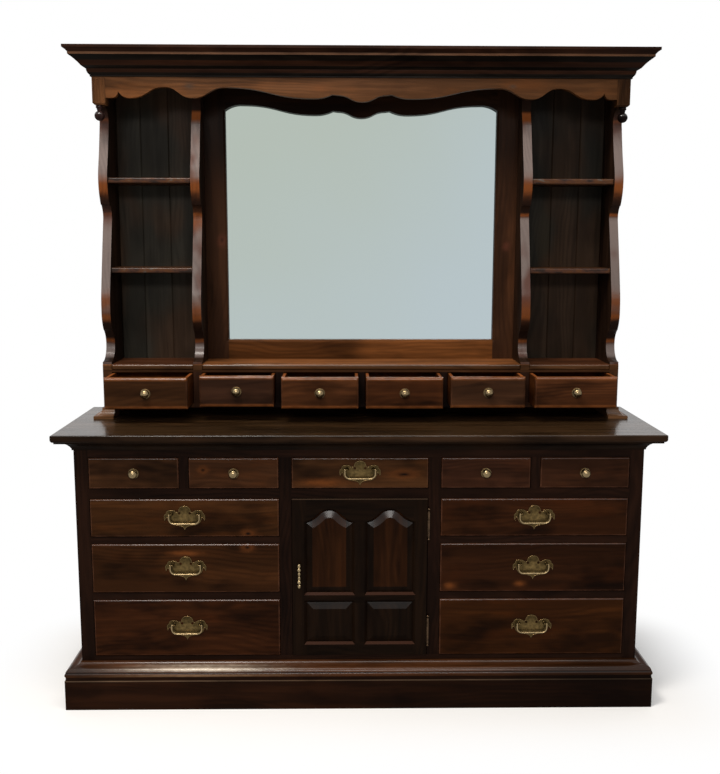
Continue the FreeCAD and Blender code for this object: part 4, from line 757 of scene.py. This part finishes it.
def drawer_wood(node, seed, shades, box_shades, thickness, knots, band=0.0):
    """Dresses a drawer: a stained front whose arrises show a lighter line, partly wear and partly a painted
    highlight, on a box of plainer pine whose sides are darkened as painted shade.

    The band is how strongly its top and bottom are painted orange as light. The listed knots and flares
    stand in their places on the front.
    """
    low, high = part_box(node)
    finish = Finish(node + "_stain")
    front = wood(finish, finish.at, seed, shades, knots=knots, rings=0.36, glow=0.45, cloud=0.72)
    colour = front["Color"]
    for x, z, half_length, half_height in FRONT_FLARES.get(node, ()):
        size = (half_length, 1.0, half_height)
        colour = finish.spotted(colour, (x, low[1], z), size, FLARE_SHARE, KNOT_FLARE)
    for x, z, half_length, half_height in FRONT_KNOTS.get(node, ()):
        ring = (2 * half_length, 1.0, 2 * half_height)
        colour = finish.spotted(colour, (x, low[1], z), ring, KNOT_RING_SHARE, KNOT_FLARE)
        colour = finish.spotted(colour, (x, low[1], z), (half_length, 1.0, half_height), 1.0, KNOT_CORE)
    wear_and_highlight = finish.noise(finish.at, WEAR_AND_HIGHLIGHT)

    def near_edge(width):
        return finish.group("front_arris", Vector=finish.at, Low=tuple(low), High=tuple(high), Width=width)

    # The arris line is partly wear and partly a painted highlight; the band is painted light
    share = finish.times(near_edge(ARRIS_WIDTH)["Mask"], finish.fit(wear_and_highlight, *WEAR_AND_HIGHLIGHT_RANGE, 0.1, 0.4))
    colour = finish.blend(share, colour, ARRIS_LINE)
    if band:
        share = finish.times(near_edge(BAND_WIDTH)["Level"], finish.fit(wear_and_highlight, *WEAR_AND_HIGHLIGHT_RANGE, 0.5 * band, band))
        colour = finish.blend(share, colour, BAND_ORANGE)
    box = wood(finish, finish.turned(deep=1.0), seed + 0.5, box_shades, knots=0.1, rings=0.3, cloud=0.3)
    # Painted shade: the box's sides are darkened, and only faces that look up keep the full colour
    facing_up = finish.fit(finish.split(finish.normal)[2], 0.5, 0.8)
    inside = finish.blend(facing_up, finish.scaled(box["Color"], BOX_SIDE_SHADE), box["Color"])
    behind = finish.math("GREATER_THAN", finish.split(finish.at)[1], low[1] + thickness + BEHIND_FRONT)
    colour = finish.blend(behind, colour, inside)
    finish.surface(colour, front)
    finish.lacquer(GLOSS)
    dress(node, finish)


RUBBED_SIZE = (0.034, 1.0, 0.02)
RUBBED_LEVELS = (0.62, 1.25)


def brass(node, seed, bright, dull, wear_and_painted_light, polish=BRASS_POLISH, middle=None, right=None):
    """Old brass with its film, pits and rubbed places.

    Round its middle, where one is given, it is brighter than at its rim. What lies right of the
    dresser's middle may have tones of its own.
    """
    finish = Finish(node + "_brass")
    if right:
        beyond = finish.math("GREATER_THAN", finish.split(finish.at)[0], 0.0)
        bright, dull = [finish.blend(beyond, own, new) for own, new in zip((bright, dull), right)]
    metal = finish.group("brass_patina", Vector=finish.at, Seed=seed, Bright=bright, Dull=dull,
                         Rubbed=wear_and_painted_light, Polish=polish)
    colour = metal["Color"]
    if middle:
        spot = finish.group("spot", Vector=finish.at, At=middle, Size=RUBBED_SIZE)
        colour = finish.scaled(colour, finish.fit(spot["Mask"], 0.0, 1.0, *RUBBED_LEVELS))
    finish.surface(colour, metal, BRASS_RELIEF)
    finish.fill(finish.shader, Metallic=1.0)
    return finish


# Spots of painted light, orange and red, on the front edges of the towers' sides, by their middle's x and
# height
ORANGE_SPOTS = ((-0.8, 1.558), (-0.8, 1.204), (-0.515, 1.557), (-0.515, 1.45), (-0.515, 1.175),
                (0.8, 1.558), (0.8, 1.204), (0.515, 1.557), (0.515, 1.175))
RED_SPOTS = ((-0.8, 1.741), (0.8, 1.741), (-0.8, 1.46))
EDGE_SPOT_DEPTH = 0.1
EDGE_SPOT_SIZE = (0.06, 1.0, 0.027)
EDGE_SPOT_SHARE = 0.85
EDGE_WANDER = (9.0, 9.0, 14.0)
EDGE_DRIFT = (11.0, 11.0, 6.0)
EDGE_GLOSS = 0.25
INNER_BOARD_END = 0.6
INNER_NECK = (1.745, 1.765)
INNER_HEAD = (1.782, 1.795)

# Between which leans the front edge turns from dark to orange, to brown and to pale: painted shade, painted
# light and a painted highlight
LEAN_ORANGE = (-0.36, -0.16)
LEAN_BROWN = (-0.14, 0.02)
LEAN_PALE = (-0.06, 0.14)
LEAN_WANDER = 0.34


def front_edge(finish):
    """A mask of the faces that look to the front."""
    y = finish.split(finish.normal)[1]
    return finish.fit(finish.times(y, -1.0), 0.5, 0.75)


def edge_painted_light_wood(node, seed, shades):
    """Dresses a node in upright stained boards whose front edge carries painted light and shade.

    Where it leans back it is pale, a painted highlight; further down it is orange, painted light; and
    where it hangs over it stays dark, painted shade. It is painted brighter upwards, and the inner
    boards have a painted orange neck and painted shade at their head, under the canopy.
    """
    finish = Finish(node + "_stain", HUTCH_MOVED)
    figure = wood(finish, finish.turned(1.0), seed, shades, knots=0.05)
    wander = finish.noise(finish.at, EDGE_WANDER, 3.0)
    slope = finish.minus(finish.split(finish.normal)[2], LEAN_WANDER / 2)
    lean = finish.math("MULTIPLY_ADD", wander, LEAN_WANDER, slope)
    # Painted light and shade by how the front edge leans
    wear_and_painted_light = finish.blend(finish.fit(lean, *LEAN_ORANGE), EDGE_DARK, EDGE_ORANGE)
    wear_and_painted_light = finish.blend(finish.fit(lean, *LEAN_BROWN), wear_and_painted_light, EDGE_BROWN)
    drift = finish.noise(finish.at, EDGE_DRIFT)
    pale = finish.blend(finish.fit(drift, 0.5, 0.68), EDGE_PALE, EDGE_RED)
    wear_and_painted_light = finish.blend(finish.fit(lean, *LEAN_PALE), wear_and_painted_light, pale)
    for spots, tint in ((ORANGE_SPOTS, EDGE_ORANGE), (RED_SPOTS, EDGE_RED)):
        for x, z in spots:
            at = (x, EDGE_SPOT_DEPTH, z)
            wear_and_painted_light = finish.spotted(wear_and_painted_light, at, EDGE_SPOT_SIZE, EDGE_SPOT_SHARE, tint)
    # Painted light at the inner boards' neck, and painted shade at their head under the canopy
    side, _, height = finish.split(finish.at)
    inner = finish.math("LESS_THAN", finish.math("ABSOLUTE", side), INNER_BOARD_END)
    for heights, tint in ((INNER_NECK, EDGE_ORANGE), (INNER_HEAD, EDGE_DARK)):
        wear_and_painted_light = finish.blend(finish.times(inner, finish.fit(height, *heights)), wear_and_painted_light, tint)
    grain = finish.fit(figure["Height"], -0.3, 0.5, 0.8, 1.15)
    # Brighter upwards: painted light
    level = finish.times(grain, finish.fit(height, 1.0, 1.8, 0.85, 1.15))
    colour = finish.blend(front_edge(finish), figure["Color"], finish.scaled(wear_and_painted_light, level))
    finish.surface(colour, figure)
    finish.lacquer(EDGE_GLOSS)
    dress(node, finish)


SHELF_PATCHES = (26.0, 8.0, 60.0)
SHELF_EDGE_LEVEL = 0.8


def shelf_wood(node, seed, shades):
    """Dresses shelves, whose front edges are painted in patches of orange, dark and pale: painted light and
    shade that change at random.
    """
    finish = Finish(node + "_stain", HUTCH_MOVED)
    figure = wood(finish, finish.at, seed, shades, knots=0.05)
    patch = finish.noise(finish.at, SHELF_PATCHES, 3.0, 0.6)
    # Painted shade, dark, and painted light, brown, orange and pale, in patches along the front edge
    wear_and_painted_light = finish.blend(finish.fit(patch, 0.36, 0.5), SHELF_DARK, EDGE_BROWN)
    wear_and_painted_light = finish.blend(finish.fit(patch, 0.48, 0.58), wear_and_painted_light, SHELF_ORANGE)
    wear_and_painted_light = finish.blend(finish.fit(patch, 0.6, 0.7), wear_and_painted_light, SHELF_PALE)
    colour = finish.blend(front_edge(finish), figure["Color"], finish.scaled(wear_and_painted_light, SHELF_EDGE_LEVEL))
    finish.surface(colour, figure)
    finish.lacquer(EDGE_GLOSS)
    dress(node, finish)


# Zones of the lower case: from and to how far from the middle, and from and to which height
OUTER_STILE = (0.7965, 0.9, 0.0, 0.9)
CENTRE_STILE = (0.2025, 0.2385, 0.152, 0.763)
MUNTIN = (0.504, 0.531, 0.669, 0.763)
PLINTH_CAP = (0.0, 1.0, 0.1015, 0.2)
PLINTH_GROOVE = (0.0, 1.0, 0.1125, 0.1152)
PLINTH_LINE = (0.0, 1.0, 0.0885, 0.0912)
# The groove's dark tone is painted shade, and the line's pale tone a painted highlight on the board's top
# arris
PLINTH_PATCHES = ((PLINTH_CAP, CAP_TONES), (PLINTH_GROOVE, GROOVE_SHADE_TONES), (PLINTH_LINE, CAP_LINE_HIGHLIGHT_TONES))
TOP_EDGE = (0.0, 1.0, 0.8155, 0.8372)
# The cove under the top's edge is darkened as painted shade
TOP_COVE = (0.0, 1.0, 0.7, 0.8155)

# Marks on the plinth's cap: their middle, size and colour. The first two are painted highlights on the ovolo
# and the bead, and the third darkens the cap's left end
PLINTH_MARKS = [((-0.48, -0.24, 0.1232), (0.17, 1.0, 0.0038), CAP_PAINTED_HIGHLIGHT),
                ((-0.48, -0.24, 0.1065), (0.22, 1.0, 0.003), CAP_BEAD_PAINTED_HIGHLIGHT),
                ((-0.83, -0.24, 0.118), (0.1, 1.0, 0.02), MARK_DARK)]


def dress_case():
    """The plinth, sides, back, frame, insides and top of the lower case."""
    # Its fall is painted light from the left
    plain_wood("plinth", 1.0, PLINTH_TONES, by_normal=True, knots=0.15, gloss=0.38, rings=0.3,
               fall=(1.1, 0.45, 0.8), marks=PLINTH_MARKS, patches=PLINTH_PATCHES)
    plain_wood("case_sides", 2.0, FRAME_TONES, upright=1.0)
    plain_wood("case_back", 3.0, INSIDE_TONES, upright=1.0, cloud=0.2)
    plain_wood("case_partitions", 4.0, INSIDE_TONES, cloud=0.2)
    plain_wood("drawer_runners", 5.0, INSIDE_TONES, deep=1.0, gloss=0.0, cloud=0.2)
    plain_wood("face_frame", 6.0, FRAME_TONES, uprights=(OUTER_STILE, CENTRE_STILE, MUNTIN), knots=0.12)
    plain_wood("dresser_top", 7.0, TOP_TONES, knots=0.1, level=1.0,
               patches=((TOP_EDGE, TOP_EDGE_TONES), (TOP_COVE, TOP_COVE_SHADE_TONES)))


# Zones of the hutch, from its own middle
SHELF_FRONT = (0.0, 0.9, 0.989, 1.0045)
SHELF_TOP = (0.0, 0.9, 1.0045, 1.1)
SHELF_END = (0.53, 0.784, 1.0045, 1.1)
FEET = (0.76, 0.9, 0.8, 0.87)
DIVIDERS = (0.0, 0.5, 0.86, 0.982)
UPRIGHTS = (0.5, 0.53, 0.86, 0.982)
CASE_PATCHES = ((SHELF_FRONT, SHELF_FRONT_TONES), (SHELF_TOP, SHELF_TOP_TONES),
                (SHELF_END, SHELF_END_TONES), (FEET, FEET_TONES), (DIVIDERS, DIVIDER_TONES),
                (UPRIGHTS, UPRIGHT_TONES))
MIRROR_FOOT = (0.0, 0.434, 1.0, 1.0695)
DROPS = (0.7, 0.9, 1.7, 1.7949)
CELL_UPRIGHTS = (0.0, 0.9, 0.884, 0.982)
MIRROR_STILES = (0.434, 0.6, 1.0, 2.0)
MIRROR_MARKS = [((-0.45, 0.205, 1.389), (0.013, 1.0, 0.018), MARK_RED),
                ((-0.45, 0.205, 1.392), (0.005, 1.0, 0.008), MARK_DARK),
                ((0.472, 0.205, 1.375), (0.012, 1.0, 0.014), MARK_RED)]
VALANCE_MARKS = [((-0.52, 0.045, 1.85), (0.013, 1.0, 0.009), MARK_GREY),
                 ((0.455, 0.045, 1.852), (0.009, 1.0, 0.006), MARK_GREY)]

# The crown's tones by height: its bed mould, step, cove, soffit and band. The dark ones are painted shade,
# and the band's is a painted highlight
CROWN_STEPS = ((1.8, 1.887, CROWN_SHADE_TONES), (1.8975, 1.905, CROWN_SHADE_TONES),
               (1.918, 1.9318, CROWN_SHADE_TONES), (1.9318, 1.9382, CROWN_HIGHLIGHT_TONES))


def dress_hutch():
    """The small-drawer case, towers, mirror, valance, posts and crown."""
    plain_wood("hutch_drawer_case", 8.0, HUTCH_TONES, moved=HUTCH_MOVED, uprights=(CELL_UPRIGHTS,),
               patches=CASE_PATCHES)
    edge_painted_light_wood("tower_sides", 9.0, TOWER_TONES)
    shelf_wood("tower_shelves", 10.0, HUTCH_TONES)
    # Its climb is painted shade towards the top, under the canopy; its fall makes the right stile brighter
    # than the left
    plain_wood("mirror_frame", 12.0, MIRROR_TONES, moved=HUTCH_MOVED, uprights=(MIRROR_STILES,), knots=0.05,
               rings=0.25, fall=(0.76, 1.5, 0.05), climb=(1.3, 1.76, 1.08, 0.3), marks=MIRROR_MARKS,
               patches=((MIRROR_FOOT, AMBER_TONES),))
    # Its fall is painted light from the left
    plain_wood("valance", 13.0, VALANCE_TONES, moved=HUTCH_MOVED, knots=0.0, glow=0.5, rings=0.35,
               fall=(1.04, 0.64, 0.7), marks=VALANCE_MARKS)
    # Its fall is painted shade to the right
    plain_wood("corner_posts", 14.0, VALANCE_TONES, upright=1.0, moved=HUTCH_MOVED, knots=0.0,
               fall=(1.0, 0.4, 0.8), patches=((DROPS, DROP_TONES),))
    steps = [((0.0, 1.0, low, high), shades) for low, high, shades in CROWN_STEPS]
    # Its fall is painted light from the left
    plain_wood("crown", 15.0, CROWN_TONES, by_normal=True, moved=HUTCH_MOVED, knots=0.05, patches=steps,
               gloss=0.4, fall=(1.1, 0.85, 0.8))


# Where the outer planks start, from the hutch's middle, and how wide a plank is
PLANK_FROM = 0.529
PLANK_WIDTH = 0.089
PLANK_SEED_STEP = 1.31
PLANK_DRIFT = (5.0, 5.0, 3.2)
COOL_TINT = (0.78, 0.92, 1.0, 1.0)
WARM_TINT = (1.3, 1.02, 0.88, 1.0)


def dress_backs():
    """Planks that differ in tone from one to the next, and darken to the right and to the top as painted
    shade.
    """
    finish = Finish("hutch_backs_stain", HUTCH_MOVED)
    side, _, height = finish.split(finish.at)
    from_first = finish.minus(finish.math("ABSOLUTE", side), PLANK_FROM)
    number = finish.math("FLOOR", finish.math("DIVIDE", from_first, PLANK_WIDTH))
    seed = finish.math("MULTIPLY_ADD", number, PLANK_SEED_STEP, 11.0)
    figure = wood(finish, finish.turned(1.0), seed, PLANK_TONES, knots=0.03, cloud=0.3, glow=0.1)
    drift = finish.noise(finish.at, PLANK_DRIFT)
    tinted = finish.blend(finish.fit(drift, 0.4, 0.6), COOL_TINT, WARM_TINT)
    colour = finish.vector("MULTIPLY", figure["Color"], tinted)
    # Painted shade: darker to the right, and towards the top under the canopy
    colour = finish.scaled(colour, finish.fit(side, -0.6, 0.6, 1.1, 0.8))
    colour = finish.scaled(colour, finish.fit(height, 1.5, 1.8, 1.0, 0.72))
    finish.surface(colour, figure)
    finish.sheen()
    dress("hutch_backs", finish)


MIRROR_CLOUDS = (1.4, 1.4, 1.4)
MIRROR_GREEN = stain(180, 190, 181)
MIRROR_BLUE = stain(183, 196, 201)


def dress_mirror():
    """Silvering whose tint goes in soft clouds from a greenish grey at the upper left to a bluish one: a
    painted reflection.
    """
    finish = Finish("mirror_silvering_painted_reflection")
    x, _, z = finish.split(finish.at)
    lean = finish.math("MULTIPLY_ADD", x, 0.5, finish.times(z, -0.6))
    cloud = finish.noise(finish.at, MIRROR_CLOUDS)
    # The tint's gradient across the glass is a painted reflection
    share = finish.fit(finish.plus(lean, finish.times(cloud, 0.5)), -1.0, -0.2)
    finish.fill(finish.shader, Base_Color=finish.blend(share, MIRROR_GREEN, MIRROR_BLUE), Metallic=1.0,
                Roughness=finish.math("MULTIPLY_ADD", cloud, 0.02, 0.02))
    dress("mirror_glass", finish)


# The bright and the dull tone of each kind of brass
KNOB_BRASS = (stain(132, 114, 84), stain(58, 48, 34))
PLATE_BRASS = (stain(98, 80, 48), stain(38, 31, 18))
BAIL_BRASS = (stain(150, 130, 96), stain(84, 70, 48))
RIM_BRASS = (stain(108, 88, 58), stain(52, 42, 27))
PULL_BRASS = (stain(150, 132, 100), stain(72, 60, 42))
HINGE_BRASS = (stain(84, 66, 50), stain(38, 30, 22))
KNOB_POLISH = 0.14

# How thick the fronts of the lower and of the hutch drawers are
BASE_FRONT = 0.020
HUTCH_FRONT = 0.016


def knob_brass(row, number):
    """Dresses a knob, and lays the ring of beads round its rose."""
    knob = "%s_knob_%d" % (row, number)
    seed = float(number) if row == "small" else number + 7.0
    dress(knob, brass(knob, seed, *KNOB_BRASS, 0.6, KNOB_POLISH))
    beads = knob.replace("knob", "beads")
    low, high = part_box(knob)
    points = bead_ring((low[0] + high[0]) / 2, high[1], (low[2] + high[2]) / 2)
    ring_piece(beads, points, brass(beads, seed + 0.4, *RIM_BRASS, 0.5), "%s_drawer_%d" % (row, number))


def dress_drawers():
    """Every drawer with its own figure, knob, plate and bail."""
    for number, shades in SMALL_TONES.items():
        name = "small_drawer_%d" % number
        drawer_wood(name, 20.0 + number, shades, INSIDE_TONES, BASE_FRONT, 0.1)
        knob_brass("small", number)
    for number, shades in CELL_TONES.items():
        name = "hutch_drawer_%d" % number
        drawer_wood(name, 30.0 + number, shades, BOX_TONES, HUTCH_FRONT, 0.15, band=0.75)
        knob_brass("hutch", number)
    for index, (name, shades) in enumerate(BANK_TONES.items()):
        drawer = name + "_drawer"
        drawer_wood(drawer, 40.0 + index, shades, INSIDE_TONES, BASE_FRONT, 0.2)
        plate = name + "_pull_plate"
        low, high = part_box(plate)
        middle = ((low[0] + high[0]) / 2, high[1], (low[2] + high[2]) / 2)
        dress(plate, brass(plate, index, *PLATE_BRASS, 0.3, middle=middle))
        dress(name + "_bail", brass(name + "_bail", index + 0.5, *BAIL_BRASS, 0.7))
        rim = brass(name + "_plate_rim", index + 2.3, *RIM_BRASS, 0.7, KNOB_POLISH)
        ring_piece(name + "_plate_rim", plate_rim(middle[0], high[1], high[2]), rim, drawer)


# Places on the door: its bay's half width, its rails, the front of its panels and the arched ones' field
DOOR_BAY = 0.160
DOOR_RAILS = ((0.0, DOOR_BAY, 0.0, 0.193), (0.0, DOOR_BAY, 0.3175, 0.3485), (0.0, DOOR_BAY, 0.5625, 0.7))
DOOR_PANEL_FRONT = -0.1972
ARCH_FIELDS = (0.041, 0.1415, 0.366, 0.6)
DOOR_TOP = 0.6375
DOOR_ARRIS_HEIGHT = 0.0028
LOWER_PANELS_TOP = (0.31, 0.33)
LOWER_GLOSS_SHARE = 0.4
DOOR_GLOSS = 0.42
DOOR_ARRIS_HIGHLIGHT = stain(72, 56, 44)
RAIL_BEVEL_PAINTED_LIGHT = stain(46, 25, 15)


def dress_door():
    """The door: upright stiles and panels, and rails along x. Its top rail stands in front of the arches."""
    finish = Finish("door_stain")
    rails = finish.most(finish.zone(*DOOR_RAILS[0]), finish.zone(*DOOR_RAILS[1]))
    ahead = finish.math("LESS_THAN", finish.split(finish.at)[1], DOOR_PANEL_FRONT)
    rails = finish.most(rails, finish.times(finish.zone(*DOOR_RAILS[2]), ahead))
    place = finish.turned(finish.minus(1.0, rails))
    arches = finish.times(finish.zone(*ARCH_FIELDS), finish.minus(1.0, ahead))
    shades = [finish.blend(arches, own, new) for own, new in zip(DOOR_TONES, ARCH_TONES)]
    figure = wood(finish, place, finish.math("MULTIPLY_ADD", rails, 2.9, 50.0), shades, knots=0.05)
    height = finish.split(finish.at)[2]
    slope = finish.split(finish.normal)[2]
    # Bevels that face up are painted lighter: painted light
    on_bevel = finish.times(finish.fit(slope, 0.4, 0.5), finish.fit(slope, 0.9, 0.8))
    colour = finish.blend(on_bevel, figure["Color"], RAIL_BEVEL_PAINTED_LIGHT)
    # A painted highlight along the door's top arris
    at_top = finish.fit(height, DOOR_TOP - DOOR_ARRIS_HEIGHT, DOOR_TOP)
    colour = finish.blend(finish.times(at_top, 0.7), colour, DOOR_ARRIS_HIGHLIGHT)
    higher = finish.fit(height, *LOWER_PANELS_TOP, LOWER_GLOSS_SHARE, 1.0)
    finish.surface(colour, figure)
    finish.lacquer(finish.times(finish.times(finish.minus(1.0, on_bevel), higher), DOOR_GLOSS))
    dress("door", finish)
    dress("door_hardware", brass("door_hardware", 3.0, *PULL_BRASS, 0.6, KNOB_POLISH, right=HINGE_BRASS))
    dress("door_hinges", brass("door_hinges", 4.0, *HINGE_BRASS, 0.3, KNOB_POLISH))


# Floor and surround

FLOOR_HALF = 14.0
FOOT_HALF = (0.88, 0.245)
SHADOW_REACH = 0.36
FLOOR_MOTTLE = (2.0, 2.0, 2.0)
FLOOR_ROUGHNESS = 0.7
FLOOR_SHEEN = 0.05


def make_floor():
    """A wide pale floor under the dresser.

    To the eye it goes over into plain white, away from the dresser's foot.
    """
    mesh = bpy.data.meshes.new("studio_floor")
    corners = [(-FLOOR_HALF, -FLOOR_HALF, 0.0), (FLOOR_HALF, -FLOOR_HALF, 0.0),
               (FLOOR_HALF, FLOOR_HALF, 0.0), (-FLOOR_HALF, FLOOR_HALF, 0.0)]
    mesh.from_pydata(corners, [], [(0, 1, 2, 3)])
    floor = bpy.data.objects.new("studio_floor", mesh)
    bpy.context.scene.collection.objects.link(floor)
    finish = Finish("floor_paper")
    mottle = finish.noise(finish.at, FLOOR_MOTTLE)
    colour = finish.blend(mottle, stain(246, 246, 246), stain(243, 243, 243))
    finish.surface(colour, {"Roughness": FLOOR_ROUGHNESS, "Height": mottle}, PAPER_RELIEF)
    finish.fill(finish.shader, Specular_IOR_Level=FLOOR_SHEEN)
    rays = finish.add("ShaderNodeLightPath").outputs
    seen = finish.most(rays["Is Camera Ray"], rays["Is Glossy Ray"], rays["Is Transmission Ray"])
    x, y, _ = finish.split(finish.at)
    beyond = [finish.math("MAXIMUM", finish.minus(finish.math("ABSOLUTE", place), half), 0.0)
              for place, half in zip((x, y), FOOT_HALF)]
    away = finish.add("ShaderNodeVectorMath", operation="LENGTH")
    finish.feed(away.inputs[0], finish.join(*beyond, 0.0))
    fade = finish.fit(away.outputs["Value"], 0.0, SHADOW_REACH)
    white = finish.add("ShaderNodeEmission")
    mixed = finish.add("ShaderNodeMixShader")
    finish.feed(mixed.inputs["Fac"], finish.times(seen, fade))
    finish.tree.links.new(finish.shader.outputs[0], mixed.inputs[1])
    finish.tree.links.new(white.outputs[0], mixed.inputs[2])
    finish.tree.links.new(mixed.outputs[0], finish.tree.nodes["Material Output"].inputs["Surface"])
    mesh.materials.append(finish.material)


SOFT_LIGHT = 0.45


def make_world():
    """A white surround for what the camera and reflections see, and a softer one for the light it gives."""
    world = bpy.data.worlds.new("studio")
    world.use_nodes = True
    bpy.context.scene.world = world
    tree = Tree(world.node_tree)
    background = world.node_tree.nodes["Background"]
    rays = tree.add("ShaderNodeLightPath").outputs
    seen = tree.most(rays["Is Camera Ray"], rays["Is Glossy Ray"], rays["Is Transmission Ray"])
    tree.fill(background, Color=(1.0, 1.0, 1.0, 1.0), Strength=tree.fit(seen, 0.0, 1.0, SOFT_LIGHT, 1.0))


make_camera()
make_floor()
make_world()
for name, lamp in LAMPS.items():
    add_lamp(name, *lamp)
dress_case()
dress_hutch()
dress_backs()
dress_mirror()
dress_drawers()
dress_door()

scene = bpy.context.scene
scene.view_settings.view_transform = "Standard"
